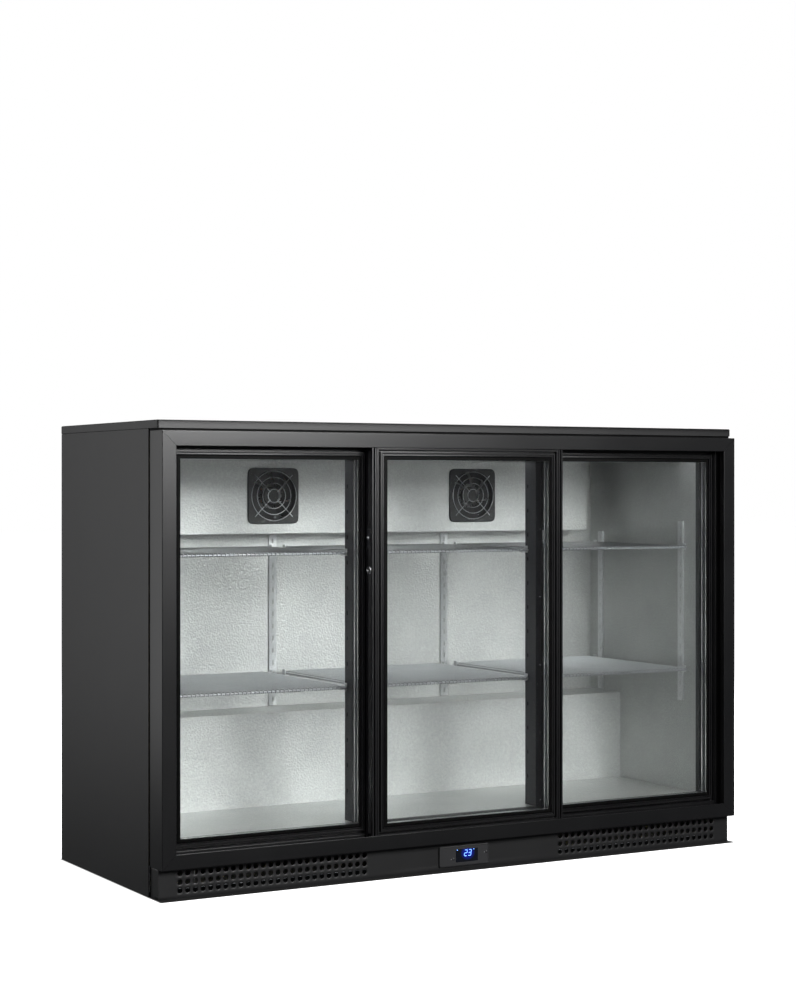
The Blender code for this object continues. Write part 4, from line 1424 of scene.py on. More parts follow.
    def rollers(self) -> None:
        """Crowned nylon rollers turned in one piece with their axle, each on its own body."""
        for end in ("a", "b"):
            node = "door_roller_" + self.name + "_" + end
            low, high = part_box(node)
            middle, radius = (low + high) / 2, (high.x - low.x) / 2
            wheel, axle = self.wheel, (high.y - low.y) / 2
            profile = [(0, axle), (0.0014, axle), (0.0019, axle - 0.0005), (0.0019, wheel + 0.0006)]
            profile += [(0.0034, wheel + 0.0004), (0.0036, wheel - 0.0004), (0.0052, wheel - 0.0004)]
            profile += [(0.0056, wheel), (radius - 0.0004, wheel), (radius, wheel * 0.5), (radius, 0)]
            mirrored = [(r, -h) for r, h in reversed(profile[:-1])]
            shape = facing(turned(profile + mirrored, 32), tuple(middle), "-Y")
            place = self.name + "_" + end
            piece("roller_wheel_" + place, shape, NYLON, "roller_" + place, (node,))

    def build(self) -> None:
        """The whole door."""
        self.frame()
        self.glazing()
        self.brushes()
        self.rollers()


@dataclass
class DoorLocks:
    """Cylinders in the centre door's edges and the keepers that they meet."""

    plate: tuple[float, float, float] = (0.0008, 0.011, 0.042)
    keyway_shade: tuple[float, float] = (0.0006, 0.0020)
    keeper_height: float = 0.062
    keeper_middle: float = 0.670
    stud_height: float = 0.673

    def cylinders(self) -> None:
        """A flanged barrel with a chamfered face, and a thin black pad in its sunk face as painted shade for
        the key's slot, on each side of the centre door.
        """
        for name, side in (("left", -1), ("right", 1)):
            node = "lock_barrel_" + name
            low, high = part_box(node)
            middle, radius, length = (low + high) / 2, (high.z - low.z) / 2, high.x - low.x
            profile = [(0, length - 0.0006), (0.0024, length - 0.0006), (0.0028, length - 0.0001)]
            profile += [(radius - 0.0022, length), (radius - 0.0018, length - 0.0007)]
            profile += [(radius - 0.0012, length - 0.0002), (radius - 0.0006, length - 0.0003)]
            profile += [(radius, length - 0.0009), (radius, 0), (0, 0)]
            base = low.x if side > 0 else high.x
            barrel = facing(turned(profile, 40), (base, middle.y, middle.z), "X" if side > 0 else "-X")
            piece("lock_cylinder_" + name, barrel, CHROME, "lock_" + name, (node,))
            # nothing is cut for the key: a thin black pad in the barrel's sunk face is painted shade for its
            # slot
            face = base + side * (length - 0.0005)
            near, far = sorted([face, face + side * 0.0003])
            width, height = self.keyway_shade
            shade_pad_low = Vector((near, middle.y - width, middle.z - height))
            shade_pad_high = Vector((far, middle.y + width, middle.z + height))
            piece("keyway_" + name, pad(shade_pad_low, shade_pad_high, 0.0003, 0.0001, "x"), SEAL_AND_SHADE, "lock_" + name)

    def stops(self) -> None:
        """A screwed plate with a polished stud on each side of the centre door."""
        low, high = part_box("door_frame_centre")
        y = (low.y + high.y) / 2
        for name, side, x in (("left", -1, low.x), ("right", 1, high.x)):
            thick, width, height = self.plate
            edges = sorted([x - side * HAIR, x + side * thick])
            plate_low = Vector((edges[0], y - width / 2 + 0.002, self.stud_height - height / 2))
            plate_high = Vector((edges[1], y + width / 2 + 0.002, self.stud_height + height / 2))
            plate = pad(plate_low, plate_high, 0.0015, 0.0002, "x")
            piece("stop_plate_" + name, plate, UPRIGHT, "door_centre")
            dome = [(0, 0.0021), (0.0016, 0.0020), (0.0030, 0.0016), (0.0040, 0.0009)]
            stud = turned(dome + [(0.0044, 0.0), (0.0044, -0.0004), (0, -0.0004)], 24)
            axis = "X" if side > 0 else "-X"
            placed = facing(stud, (x + side * thick, y + 0.004, self.stud_height), axis)
            piece("stop_stud_" + name, placed, WIRE, "door_centre")
            spots = np.array([[x + side * thick, y + 0.001, self.stud_height + z] for z in (-0.016, 0.016)])
            piece("stop_screws_" + name, screw_heads(spots, axis, 0.0024), UPRIGHT, "door_centre")

    def keepers(self) -> None:
        """A folded bright keeper on the edge of each side door that faces the centre."""
        for name, side in (("left", 1), ("right", -1)):
            low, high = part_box("door_frame_" + name)
            x = high.x if side > 0 else low.x
            y, z = (low.y + high.y) / 2, self.keeper_middle
            half = self.keeper_height / 2
            laid, flat, raised = x - side * HAIR, x + side * 0.0010, x + side * 0.0026
            outline = [(laid, z - half), (flat, z - half), (flat, z - half * 0.55), (raised, z - half * 0.45)]
            outline += [(raised, z + half * 0.45), (flat, z + half * 0.55)]
            outline += [(flat, z + half), (laid, z + half)]
            strap = prism(eased(outline, 0.0008, 3), y - 0.0055, y + 0.0055, "y")
            spots = np.array([[flat, y, z - half * 0.8], [flat, y, z + half * 0.8]])
            heads = screw_heads(spots, "X" if side > 0 else "-X", 0.0022)
            piece("lock_keeper_" + name, joined([strap, heads]), CHROME, "door_" + name)

    def build(self) -> None:
        """Cylinders, stops and keepers."""
        self.cylinders()
        self.stops()
        self.keepers()


# ---------------------------------------------------------------- inside


@dataclass
class WireShelf:
    """A shelf of close wires, welded across four stouter ones."""

    level: str
    bay: str
    pitch: float = 0.0090
    wire: float = 0.0014
    rail: float = 0.0024
    drop: float = 0.0050
    clear: float = 0.003

    def build(self) -> None:
        """Wires run front to rear along the top; rails run across under them, ends bent down."""
        node = "shelf_" + self.level + "_" + self.bay
        low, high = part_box(node)
        low, high = low + Vector((self.clear, 0, 0)), high - Vector((self.clear, 0, 0))
        count = int((high.x - low.x - 0.006) // self.pitch)
        margin = (high.x - low.x - count * self.pitch) / 2
        x = low.x + margin + np.arange(count + 1) * self.pitch
        top = high.z - self.wire
        front = low.y + self.wire
        starts = np.stack([x, np.full_like(x, front), np.full_like(x, top)], axis=1)
        ends = np.stack([x, np.full_like(x, high.y - 0.0006), np.full_like(x, top)], axis=1)
        wires = rods(starts, ends, self.wire, 8)
        drops = rods(starts, starts - np.array([0, 0, self.drop]), self.wire, 8)
        under = top - self.wire - self.rail + 0.0004
        y = np.array([front + self.wire + self.rail - HAIR, low.y + 0.13, high.y - 0.13, high.y - 0.004])
        start, end = low.x + 0.001, high.x - 0.001
        across = [np.stack([np.full(4, x0), y, np.full(4, under)], axis=1) for x0 in (start, end)]
        rails = rods(across[0], across[1], self.rail, 12)
        near, far = low.y + 0.004, high.y - 0.004
        edges = (low.x + 0.0027, high.x - 0.0027)
        sides = [rods([[x0, near, under]], [[x0, far, under]], self.rail, 12) for x0 in edges]
        piece("wire_" + node, joined([wires, drops, rails, *sides]), WIRE, replaces=(node,), sharp=60)


@dataclass
class Uprights:
    """Black posts behind the meeting stiles and slotted bright pilasters, with the shelf clips."""

    slot_pitch: float = 0.0254
    slot: tuple[float, float] = (0.0032, 0.011)
    wing: float = 0.006
    screw_start: float = 0.0142
    screw_pitch: float = 0.1415
    post_wall: float = 0.0015
    sheet: float = 0.0012

    def pilaster(self, node: str, along: str, side: int) -> None:
        """A strip of slotted cells folded down both long edges: u beyond the web turns backwards.

        Args:
            node: the CAD node that it stands for.
            along: the axis that the strip is wide along, x or y.
            side: -1 on the left wall and 1 on the right.
        """
        low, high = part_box(node)
        tall = high.z - low.z
        rows = int(tall // self.slot_pitch)
        cell = (0.011, tall / rows)
        holes = holed_sheet(1, rows, cell, self.slot)
        lines = np.linspace(0, tall, 4 * rows + 1)
        width = (high.x - low.x) if along == "x" else (high.y - low.y)
        flange = (high.y - low.y) if along == "x" else (high.x - low.x)
        edge = (width - self.sheet) / 2
        sheets = [holes.moved(-cell[0] / 2, 0, 0)]
        for sign in (-1, 1):
            sheets.append(flat_grid(sorted([sign * cell[0] / 2, sign * edge]), list(lines)))
            z, y = np.meshgrid(lines, np.array([0.0, flange - self.sheet / 2]))
            sheets.append(grid(np.stack([np.full_like(z, sign * edge), y, z], axis=2), around=False))
        flat = joined(sheets)
        if along == "x":
            axes = [[1, 0, 0], [0, 1, 0], [0, 0, 1]]
            origin = ((low.x + high.x) / 2, low.y + self.sheet / 2, low.z)
        else:
            front = low.x if side > 0 else high.x
            axes = [[0, side, 0], [side, 0, 0], [0, 0, 1]]
            origin = (front + side * self.sheet / 2, (low.y + high.y) / 2, low.z)
        piece("slotted_" + node, flat.mapped(axes, origin), BRIGHT, replaces=(node,), wall=self.sheet * 0.8)

    def post(self, name: str) -> None:
        """A folded post: a rounded C section, with a row of thin black pads on its sides near the rear as
        painted shade for slot holes.

        Args:
            name: left or right.
        """
        node = "support_post_" + name
        low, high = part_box(node)
        wall = self.post_wall
        wide, step = self.wing, low.y + wall
        corners = [(low.x, high.y), (low.x, step), (low.x - wide, step), (low.x - wide, low.y)]
        corners += [(high.x + wide, low.y), (high.x + wide, step), (high.x, step), (high.x, high.y)]
        corners += [(high.x - wall, high.y), (high.x - wall, step)]
        corners += [(low.x + wall, step), (low.x + wall, high.y)]
        end, fold, lip = [0.0004], [0.001], [0.0006]
        setback = end + fold + 4 * lip + fold + 2 * end + 2 * fold + end
        section = prism(eased(corners, setback, 5), low.z, high.z, "z")
        piece("folded_" + node, section, UPRIGHT, replaces=(node,))
        heights = np.arange(low.z + 0.06, high.z - 0.03, self.slot_pitch * 2)
        # no holes are cut: thin black pads on the post's sides are painted shade for slot holes
        slot_shades = []
        for x in (low.x - 0.00015, high.x + 0.00015):
            shade_pad_low = Vector((x - HAIR, high.y - 0.012, -0.004))
            shade_pad_high = Vector((x + HAIR, high.y - 0.009, 0.004))
            one = pad(shade_pad_low, shade_pad_high, 0.0012, 0.0001, "x")
            slot_shades.append(one.repeated(np.stack([heights * 0, heights * 0, heights], axis=1)))
        piece("post_slot_shades_" + name, joined(slot_shades), SEAL_AND_SHADE)
        levels = low.z + self.screw_start + np.arange(5) * self.screw_pitch
        columns = (low.x + 0.005, high.x - 0.005)
        spots = [np.stack([levels * 0 + x, levels * 0 + low.y, levels], axis=1) for x in columns]
        piece("post_screws_" + name, screw_heads(np.vstack(spots), "-Y", 0.0022), CHROME)

    def clips(self) -> None:
        """Bent shelf clips: a hook under each shelf's front and rear corners."""
        hook = [(0, 0), (0.010, 0), (0.010, 0.0016), (0.0016, 0.0016), (0.0016, 0.014), (0, 0.014)]
        outline = eased(hook, 0.0006, 3)
        parts = []
        for level in ("upper", "lower"):
            for bay in ("left", "centre", "right"):
                low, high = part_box("shelf_" + level + "_" + bay)
                z = high.z - 0.0090
                for y in (low.y + 0.022, high.y - 0.020):
                    for x, side in ((low.x - 0.0028, 1), (high.x + 0.0028, -1)):
                        flat = outline * np.array([side, 1.0]) + np.array([x, z - 0.0012])
                        parts.append(prism(flat, y - 0.006, y + 0.006, "y"))
        piece("shelf_clips", joined(parts), BRIGHT)

    def build(self) -> None:
        """Posts, pilasters and clips."""
        for name, side in (("left", -1), ("right", 1)):
            self.post(name)
            self.pilaster("pilaster_back_" + name, "x", side)
            for end in ("front", "rear"):
                self.pilaster("pilaster_" + end + "_" + name, "y", side)
        self.clips()


@dataclass
class ColdUnit:
    """Evaporator cover with two axial fans in square housings, its coil, and the light bar."""

    housing: float = 0.119
    bore: float = 0.0545
    blades: int = 7
    guard_rings: int = 4
    hub: float = 0.0185
    blade: float = 0.0009
    coil_tube: float = 0.0036
    channel_wall: float = 0.0012

    def rotor(self, node: str, name: str, axis: str, body: str) -> None:
        """Hub and swept blades: a blade's height turns from steep at the root to flat at the tip.

        Args:
            node: the CAD node that it stands for.
            name: the new piece's name.
            axis: the way that the hub's face points.
            body: the body that it turns with.
        """
        low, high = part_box(node)
        middle = (low + high) / 2
        radius = max(high.z - low.z, high.x - low.x, high.y - low.y) / 2
        hub = self.hub
        profile = [(0, 0.007), (0.012, 0.0068), (hub - 0.0015, 0.0058)]
        profile += [(hub, 0.004), (hub, -0.007), (0, -0.007)]
        r, t = np.meshgrid(np.linspace(hub - 0.0006, radius - 0.001, 9), np.linspace(0, 1, 11), indexing="ij")
        share = (r - hub) / (radius - hub)
        angle = (t - 0.5) * (0.95 - 0.15 * share) + 0.35 * share**1.5
        height = (t - 0.5) * (0.0125 - 0.0035 * share) + 0.0012 * np.sin(math.pi * t)
        parts = [turned(profile, 40)]
        for index in range(self.blades):
            a = angle + index * 2 * math.pi / self.blades
            top = np.stack([r * np.cos(a), r * np.sin(a), height + self.blade / 2], axis=2)
            bottom = top - np.array([0, 0, self.blade])
            parts.append(grid(np.concatenate([top, bottom[:, ::-1]], axis=1)))
        piece(name, facing(joined(parts), tuple(middle), axis), MOULDED, body, (node,))

    def housings(self) -> None:
        """Square fan bezels in front of the cover, each with a tunnel, struts and a wire guard."""
        cover_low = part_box("evaporator_cover")[0]
        face = cover_low.y
        guards = []
        for name in ("left", "right"):
            low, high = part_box("evaporator_fan_" + name)
            x, z = (low.x + high.x) / 2, (low.z + high.z) / 2
            tunnel = [(self.bore + 0.0016, -0.001), (self.bore, -0.001)]
            tunnel += [(self.bore, 0.023), (self.bore + 0.0016, 0.023)]
            sleeve = hoop(tunnel, (x, face, z), "Y", 64)
            piece("fan_housing_" + name, joined([self.bezel_ring(x, z, face), sleeve]), MOULDED)
            guards.append(self.guard(x, z, face))
        piece("fan_guards", joined(guards), WIRE)

    def guard(self, x: float, z: float, face: float) -> Shape:
        """Wire rings of even spacing, r = first + index * step, on four spokes.

        Args:
            x, z: the fan's middle.
            face: the cover's front.

        Returns:
            The guard's wires as one shape.
        """
        turn = np.arange(64) * 2 * math.pi / 64
        wires = []
        for r in np.linspace(0.014, self.bore - 0.002, self.guard_rings):
            rows = [x + r * np.cos(turn), np.full(64, face - 0.0062), z + r * np.sin(turn)]
            wires.append(tube(np.stack(rows, axis=1), 0.0009, 6, loop=True))
        reach = np.array([0.012, self.bore + 0.008])
        for spoke in np.arange(4) * math.pi / 2 + math.pi / 4:
            rows = [x + reach * np.cos(spoke), np.full(2, face - 0.0052), z + reach * np.sin(spoke)]
            wires.append(tube(np.stack(rows, axis=1), 0.0010, 6))
        return joined(wires)

    def bezel_ring(self, x: float, z: float, face: float) -> Shape:
        """A square plate with a round hole: sections blend from the rounded square to the circle.

        Args:
            x, z: the fan's middle.
            face: the cover's front.

        Returns:
            A closed plate.
        """
        turn = (np.arange(96) + 0.5) * 2 * math.pi / 96
        half, power = self.housing / 2, 12.0
        square = half / (np.abs(np.cos(turn)) ** power + np.abs(np.sin(turn)) ** power) ** (1 / power)
        bore = np.full(96, self.bore)
        r = np.array([square, square, square - 0.0008, bore + 0.0012, bore, bore])
        depth = np.array([0.0, -0.0038, -0.0045, -0.0045, -0.0038, 0.0])
        y = np.broadcast_to((face + HAIR + depth)[:, None], r.shape)
        return grid(np.stack([x + r * np.cos(turn), y, z + r * np.sin(turn)], axis=2), loop=True)

    def coil(self, node: str, name: str, fins: int, rows: int) -> None:
        """A fin block: thin plates across the tube runs, with return bends at each end.

        Args:
            node: the CAD node that it stands for.
            name: the start of the new pieces' names.
            fins: number of plates.
            rows: number of tube runs.
        """
        low, high = (np.array(corner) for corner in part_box(node))
        size = high - low
        x = np.linspace(low[0] + 0.012, high[0] - 0.012, fins)
        plate_low = Vector((-0.00012, low[1] + 0.001, low[2] + 0.001))
        plate_high = Vector((0.00012, high[1] - 0.001, high[2] - 0.001))
        plate = pad(plate_low, plate_high, 0.001, 0.00005, "x")
        plates = plate.repeated(np.stack([x, x * 0, x * 0], axis=1))
        piece(name + "_fins", plates, FINS, replaces=(node,))
        z = low[2] + size[2] * (np.arange(rows) + 0.5) / rows
        y = low[1] + size[1] * 0.5
        left, right = low[0] + 0.008, high[0] - 0.008
        starts = np.stack([np.full(rows, left), np.full(rows, y), z], axis=1)
        ends = starts + np.array([right - left, 0, 0])
        tubes = [rods(starts, ends, self.coil_tube, 12)]
        turn = np.linspace(-math.pi / 2, math.pi / 2, 9)
        for index in range(rows - 1):
            r = (z[index + 1] - z[index]) / 2
            side = 1 if index % 2 == 0 else -1
            edge = right if side > 0 else left
            reach = edge + side * np.minimum(r, 0.008) * np.cos(turn)
            level = (z[index] + z[index + 1]) / 2 + r * np.sin(turn)
            tubes.append(tube(np.stack([reach, np.full(9, y), level], axis=1), self.coil_tube, 12))
        piece(name + "_tubes", joined(tubes), COPPER)

    def light(self) -> None:
        """A channel that hides the lamp from the front, with a frosted lens under it."""
        low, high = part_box("led_strip")
        wall = self.channel_wall
        outline = [(low.y, high.z), (low.y, low.z + 0.0004), (low.y + wall, low.z + 0.0004)]
        outline += [(low.y + wall, high.z - wall), (high.y - wall, high.z - wall)]
        outline += [(high.y - wall, low.z + wall), (high.y, low.z + wall), (high.y, high.z)]
        piece("light_channel", prism(eased(outline, 0.0003, 3), low.x, high.x, "x"), BRIGHT)
        lens = [(low.y + 0.0013, low.z + 0.0016), (high.y - 0.0013, low.z + 0.0016)]
        lens += [(high.y - 0.0013, low.z + 0.0034), (low.y + 0.0013, low.z + 0.0034)]
        bar = prism(eased(lens, 0.0006, 3), low.x + 0.002, high.x - 0.002, "x")
        piece("light_lens", bar, DIFFUSER, replaces=("led_strip",))

    def build(self) -> None:
        """Cover, fans, coil and light."""
        dress("inner_liner", LINER)
        dress("evaporator_cover", LINER)
        self.housings()
        for name in ("left", "right"):
            node = "evaporator_fan_" + name
            self.rotor(node, "rotor_" + name, "-Y", node)
        self.coil("evaporator_coil", "evaporator", 150, 4)
        self.light()


@dataclass
class MachineRoom:
    """Compressor, condenser, its fan, copper pipes and the gland behind the rear sheet."""

    pipe: float = 0.0032
    plate: tuple[float, float] = (0.075, 0.050)
    mounts: tuple[float, float] = (0.062, 0.040)
    terminals: tuple[float, float] = (0.034, 0.024)

    def compressor(self) -> None:
        """A drawn shell with a welded seam, standing on a plate with rubber mounts."""
        low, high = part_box("compressor")
        radius, tall = (high.x - low.x) / 2 / 1.05, high.z - low.z
        middle = (low + high) / 2
        t = np.linspace(0, math.pi / 2, 10)
        dome = np.stack([radius * np.sin(t), tall - radius * 0.62 * (1 - np.cos(t))], axis=1).tolist()
        seam = [(radius, tall * 0.52), (radius * 1.045, tall * 0.515), (radius * 1.05, tall * 0.50)]
        seam += [(radius * 1.045, tall * 0.485), (radius, tall * 0.48)]
        foot = [(radius, tall * 0.22), (radius * 0.97, tall * 0.13), (radius * 0.80, tall * 0.07)]
        foot += [(0, tall * 0.06)]
        shell = turned(dome + seam + foot, 48).moved(middle.x, middle.y, low.z)
        depth, half = self.terminals
        box_low = Vector((middle.x + radius * 0.55, middle.y - half, low.z + tall * 0.36))
        box_high = Vector((middle.x + radius * 0.55 + depth, middle.y + half, low.z + tall * 0.74))
        piece("compressor_shell", shell, ENAMEL, replaces=("compressor",))
        piece("terminal_cover", pad(box_low, box_high, 0.005, 0.003, "x"), MOULDED)
        across, deep = self.plate
        plate_low = Vector((middle.x - across, middle.y - deep, low.z + 0.009))
        plate_high = Vector((middle.x + across, middle.y + deep, low.z + 0.012))
        plate = pad(plate_low, plate_high, 0.012, 0.001, "z")
        profile = [(0, 0.013), (0.004, 0.013), (0.009, 0.011), (0.009, 0.009), (0.006, 0.007)]
        grommet = turned(profile + [(0.009, 0.004), (0.010, 0), (0, 0)], 20)
        x, y = np.meshgrid(*[[-reach, reach] for reach in self.mounts])
        spots = np.stack([middle.x + x.ravel(), middle.y + y.ravel(), np.full(4, low.z)], axis=1)
        piece("compressor_plate", plate, GALVANISED)
        piece("compressor_mounts", grommet.repeated(spots), RUBBER)

    def pipes(self) -> None:
        """Discharge, suction and liquid lines, each one smooth curve."""
        low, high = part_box("compressor")
        coil_low, coil_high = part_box("condenser_coil")
        x, y, z = (low.x + high.x) / 2, (low.y + high.y) / 2, low.z
        discharge = [
            (x - 0.045, y, z + 0.110),
            (x - 0.085, y + 0.010, z + 0.125),
            (x - 0.160, y + 0.042, z + 0.150),
            (x - 0.300, y + 0.046, z + 0.165),
            (coil_high.x + 0.010, y + 0.030, coil_high.z + 0.010),
            (coil_high.x - 0.006, y + 0.012, coil_high.z - 0.012),
        ]
        suction = [
            (x + 0.035, y + 0.025, z + 0.120),
            (x + 0.085, y + 0.034, z + 0.160),
            (x + 0.150, y + 0.030, z + 0.205),
            (x + 0.190, y + 0.020, z + 0.243),
        ]
        liquid = [
            (coil_low.x + 0.010, y - 0.020, z + 0.020),
            (coil_low.x + 0.020, y - 0.058, z + 0.016),
            (x - 0.250, y - 0.058, z + 0.020),
            (x - 0.110, y - 0.058, z + 0.030),
            (x + 0.120, y - 0.056, z + 0.100),
            (x + 0.180, y - 0.030, z + 0.243),
        ]
        lines = [tube(smooth_path(route, 14), self.pipe, 12) for route in (discharge, suction, liquid)]
        piece("copper_lines", joined(lines), COPPER)

    def shroud(self) -> None:
        """A ring and struts that hold the condenser's fan."""
        low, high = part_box("condenser_fan")
        middle = (low + high) / 2
        section = [(0.0550, -0.012), (0.0545, 0.0), (0.0550, 0.012), (0.0580, 0.014)]
        ring = hoop(section + [(0.0562, 0.012), (0.0560, -0.012)], tuple(middle), "X", 64)
        behind = middle.x + 0.010
        arm_low = Vector((behind, middle.y - 0.055, middle.z - 0.004))
        arm_high = Vector((behind + 0.002, middle.y + 0.055, middle.z + 0.004))
        can = turned([(0, 0.020), (0.014, 0.019), (0.017, 0.016), (0.017, 0.0), (0, 0.0)], 32)
        motor = facing(can, (behind, middle.y, middle.z), "X")
        piece("condenser_shroud", joined([ring, pad(arm_low, arm_high, 0.001, 0.0005, "x"), motor]), MOULDED)

    def gland(self) -> None:
        """The lead's empty rubber gland, with a ribbed collar round its bore."""
        low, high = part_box("cable_gland")
        middle = (low + high) / 2
        radius = (high.x - low.x) / 2
        profile = [(0.004, 0.0), (0.0052, 0.0006), (0.0056, -0.0002), (0.0070, 0.0), (0.0076, -0.0006)]
        profile += [(radius - 0.0006, -0.0006), (radius, -0.0012), (radius, -0.0024), (0.009, -0.0026)]
        profile += [(0.009, -0.0142), (0.0082, -0.0145), (0.004, -0.0145)]
        ring = hoop(profile, (middle.x, high.y, middle.z), "Y", 36)
        piece("lead_gland", ring, RUBBER, replaces=("cable_gland",))

    def build(self, cold: ColdUnit) -> None:
        """Everything behind the step.

        Args:
            cold: makes the coil and the rotor.
        """
        self.compressor()
        self.pipes()
        self.shroud()
        cold.coil("condenser_coil", "condenser", 40, 5)
        cold.rotor("condenser_fan", "condenser_rotor", "X", "condenser_fan")
        self.gland()


@dataclass
class LevellingFoot:
    """A screw-out foot: moulded pad, hexagon and a threaded spindle."""

    where: str
    spindle: float = 0.0040
    pitch: float = 0.00125
    depth: float = 0.0005

    def build(self) -> None:
        """The thread's radius is r - depth * |sawtooth(height / pitch - turn / one turn)|."""
        node = "levelling_foot_" + self.where
        low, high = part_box(node)
        middle, radius = (low + high) / 2, (high.x - low.x) / 2
        base = [(0, 0.0008), (radius - 0.003, 0.0), (radius - 0.0008, 0.0004)]
        base += [(radius, 0.0016), (radius, 0.0040)]
        base += [(radius - 0.0014, 0.0056), (radius * 0.62, 0.0062), (0.0052, 0.0066), (0, 0.0066)]
        sole = turned(base, 40).moved(middle.x, middle.y, low.z)
        hexagon = turned([(0, 0.0105), (0.0062, 0.0105), (0.0070, 0.0100), (0.0070, 0.0064), (0, 0.0064)], 6)
        steel = [hexagon.moved(middle.x, middle.y, low.z)]
        height = np.arange(0.0100, high.z - low.z, self.pitch / 6)
        turn = np.arange(24) * 2 * math.pi / 24
        phase = (height[:, None] / self.pitch - turn[None] / (2 * math.pi)) % 1.0
        r = self.spindle - self.depth * np.abs(2 * phase - 1)
        level = np.broadcast_to(height[:, None], r.shape)
        points = np.stack([r * np.cos(turn), r * np.sin(turn), level], axis=2)
        steel.append(grid(points).moved(middle.x, middle.y, low.z))
        body = "foot_" + self.where
        piece("foot_pad_" + self.where, sole, RUBBER, body, (node,))
        piece("foot_screw_" + self.where, joined(steel), WIRE, body, sharp=20)


# ---------------------------------------------------------------- studio


@dataclass(frozen=True)
class SoftBox:
    """A soft rectangular lamp that points at a target."""

    name: str
    place: tuple[float, float, float]
    target: tuple[float, float, float]
    size: tuple[float, float]
    power: float

    def build(self) -> None:
        """Adds the lamp."""
        data = bpy.data.lights.new(self.name, "AREA")
        data.shape = "RECTANGLE"
        data.size, data.size_y = self.size
        data.energy = self.power
        lamp = bpy.data.objects.new(self.name, data)
        lamp.location = self.place
        lamp.rotation_euler = (Vector(self.target) - Vector(self.place)).to_track_quat("-Z", "Y").to_euler()
        bpy.context.scene.collection.objects.link(lamp)


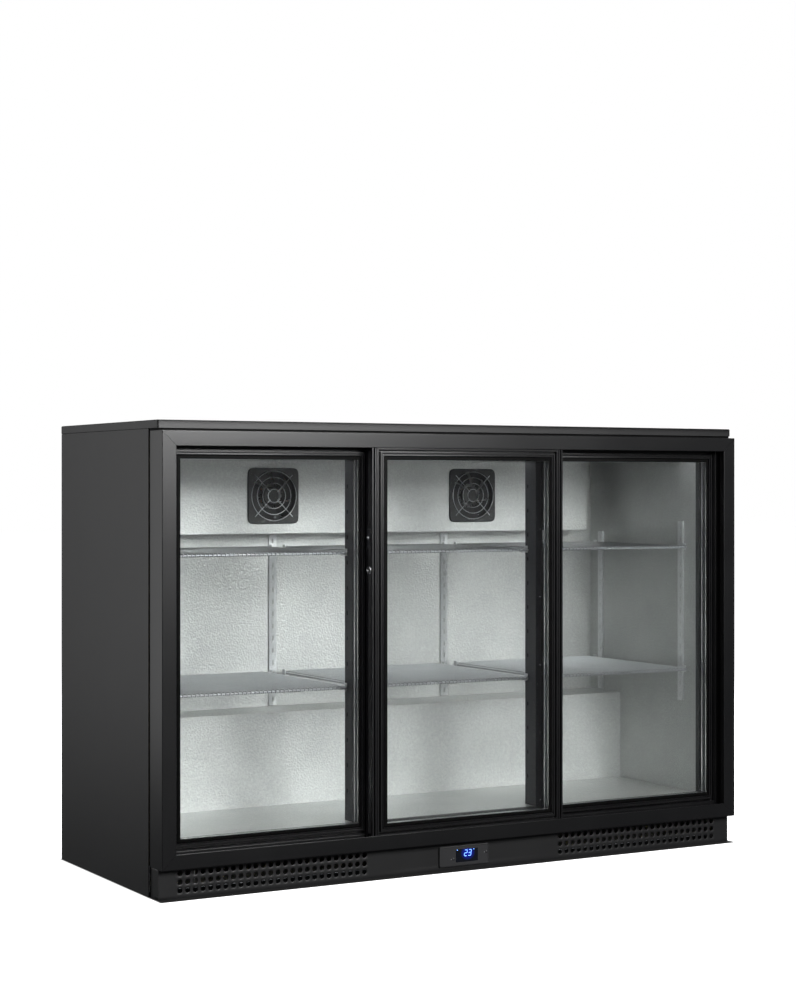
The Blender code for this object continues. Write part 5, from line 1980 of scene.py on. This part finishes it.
@dataclass
class Studio:
    """Camera, soft light, and a pale floor with a painted shadow under the cabinet."""

    eye: tuple[float, float, float] = (-2.2, -3.8543, 0.7737)
    heading: float = 29.5
    lens: float = 75.05
    rise: float = -0.013
    # where the floor's painted shadow fades out, as shares of the cabinet's half-size
    painted_shadow_edge: tuple[float, float] = (0.998, 1.008)
    floor_glow: float = 0.95
    surround: float = 0.06
    flag_gap: float = 0.012
    flag_half: float = 0.95
    flag_heights: tuple[float, float] = (0.904, 1.13)
    lamps: tuple[SoftBox, ...] = (
        SoftBox("key_light", (0.7, -3.7, 1.85), (0.0, 0.0, 0.75), (1.8, 1.2), 170.0),
        SoftBox("side_light", (-2.9, 2.8, 1.0), (-0.6, 0.0, 0.3), (2.0, 2.6), 19.0),
        SoftBox("fill_light", (-3.4, -1.2, 1.5), (-0.6, 0.0, 0.4), (1.4, 1.6), 40.0),
        SoftBox("right_light", (2.8, 1.5, 1.3), (0.6, 0.0, 0.45), (1.6, 1.6), 40.0),
        SoftBox("top_light", (0.0, 0.2, 3.2), (0.0, 0.0, 0.9), (2.4, 2.0), 60.0),
        SoftBox("rear_light", (2.6, 2.6, 2.2), (0.0, 0.2, 0.5), (1.6, 1.6), 50.0),
    )

    def camera(self) -> None:
        """A level camera turned towards the cabinet's left front corner."""
        data = bpy.data.cameras.new("camera")
        data.lens, data.sensor_width = self.lens, 36.0
        data.shift_y = self.rise
        made = bpy.data.objects.new("camera", data)
        made.location = self.eye
        made.rotation_euler = (math.pi / 2, 0.0, -math.radians(self.heading))
        bpy.context.scene.collection.objects.link(made)
        bpy.context.scene.camera = made

    def world(self) -> None:
        """A white surround to the eye that gives a lower light than it shows."""
        world = bpy.data.worlds.new("studio")
        world.use_nodes = True
        tree = world.node_tree
        shown = tree.nodes["Background"]
        shown.inputs["Color"].default_value = (1.0, 1.0, 1.0, 1.0)
        shown.inputs["Strength"].default_value = 1.0
        given = tree.nodes.new("ShaderNodeBackground")
        given.inputs["Color"].default_value = (0.93, 0.96, 1.0, 1.0)
        given.inputs["Strength"].default_value = self.surround
        ray, mix = tree.nodes.new("ShaderNodeLightPath"), tree.nodes.new("ShaderNodeMixShader")
        tree.links.new(ray.outputs["Is Camera Ray"], mix.inputs["Fac"])
        tree.links.new(given.outputs["Background"], mix.inputs[1])
        tree.links.new(shown.outputs["Background"], mix.inputs[2])
        tree.links.new(mix.outputs["Shader"], tree.nodes["World Output"].inputs["Surface"])
        bpy.context.scene.world = world

    def floor(self) -> None:
        """A wide pale floor with a little light of its own to keep it even; under the cabinet its light is
        off and its colour is black, a painted shadow that fades out across the cabinet's edge.
        """
        x, y = np.meshgrid(np.linspace(-30, 30, 5), np.linspace(-30, 30, 5))
        shape = grid(np.stack([x, y, np.zeros_like(x)], axis=2), around=False)
        mesh = bpy.data.meshes.new("floor")
        mesh.from_pydata(shape.points.tolist(), [], shape.faces[0].tolist())
        paint = bpy.data.materials.new("pale_floor")
        paint.use_nodes = True
        tree = paint.node_tree
        shader = tree.nodes["Principled BSDF"]
        shader.inputs["Roughness"].default_value = 0.9
        shader.inputs["Emission Color"].default_value = (1.0, 1.0, 1.0, 1.0)
        place = tree.nodes.new("ShaderNodeTexCoord")
        fit = tree.nodes.new("ShaderNodeMapping")
        fit.inputs["Scale"].default_value = (1 / CAD_BOX[1].x, 1 / CAD_BOX[1].y, 0.0)
        away = tree.nodes.new("ShaderNodeVectorMath")
        away.operation = "ABSOLUTE"
        apart = tree.nodes.new("ShaderNodeSeparateXYZ")
        farther = tree.nodes.new("ShaderNodeMath")
        farther.operation = "MAXIMUM"
        glow = tree.nodes.new("ShaderNodeMapRange")
        glow.inputs["From Min"].default_value, glow.inputs["From Max"].default_value = self.painted_shadow_edge
        glow.inputs["To Max"].default_value = self.floor_glow
        tree.links.new(place.outputs["Object"], fit.inputs["Vector"])
        tree.links.new(fit.outputs["Vector"], away.inputs[0])
        tree.links.new(away.outputs["Vector"], apart.inputs["Vector"])
        tree.links.new(apart.outputs["X"], farther.inputs[0])
        tree.links.new(apart.outputs["Y"], farther.inputs[1])
        tree.links.new(farther.outputs["Value"], glow.inputs["Value"])
        tree.links.new(glow.outputs["Result"], shader.inputs["Emission Strength"])
        # the same mask paints the colour black under the cabinet: a painted shadow
        tree.links.new(glow.outputs["Result"], shader.inputs["Base Color"])
        mesh.materials.append(paint)
        made = bpy.data.objects.new("floor", mesh)
        made.visible_glossy = False
        made.visible_transmission = False
        made.visible_diffuse = False
        bpy.context.scene.collection.objects.link(made)

    def flag(self) -> None:
        """A black card over the cabinet's front edge, which keeps the key light's glare off the worktop."""
        x, z = np.meshgrid(np.array([-self.flag_half, self.flag_half]), np.array(self.flag_heights))
        y = np.full_like(x, CAD_BOX[0].y - self.flag_gap)
        shape = grid(np.stack([x, y, z], axis=2), around=False)
        mesh = bpy.data.meshes.new("flag")
        mesh.from_pydata(shape.points.tolist(), [], shape.faces[0].tolist())
        cloth = bpy.data.materials.new("black_card")
        cloth.use_nodes = True
        shader = cloth.node_tree.nodes["Principled BSDF"]
        shader.inputs["Base Color"].default_value = (0.0, 0.0, 0.0, 1.0)
        shader.inputs["Specular IOR Level"].default_value = 0.0
        mesh.materials.append(cloth)
        made = bpy.data.objects.new("flag", mesh)
        made.visible_camera = False
        made.visible_transmission = False
        bpy.context.scene.collection.objects.link(made)

    def build(self) -> None:
        """The whole studio, in plain display colours."""
        bpy.context.scene.view_settings.view_transform = "Standard"
        self.camera()
        self.world()
        self.floor()
        self.flag()
        for lamp in self.lamps:
            lamp.build()


def main() -> None:
    """Builds the studio, then the cabinet from the outside in."""
    Studio().build()
    OuterCase().build()
    FrontFrame().build()
    KickPanel().build()
    Controller().build()
    for name in ("left", "centre", "right"):
        SlidingDoor(name).build()
    DoorLocks().build()
    for level in ("upper", "lower"):
        for bay in ("left", "centre", "right"):
            WireShelf(level, bay).build()
    Uprights().build()
    cold = ColdUnit()
    cold.build()
    MachineRoom().build(cold)
    for end in ("front", "rear"):
        for side in ("left", "right"):
            LevellingFoot(end + "_" + side).build()


if __name__ == "__main__":
    main()
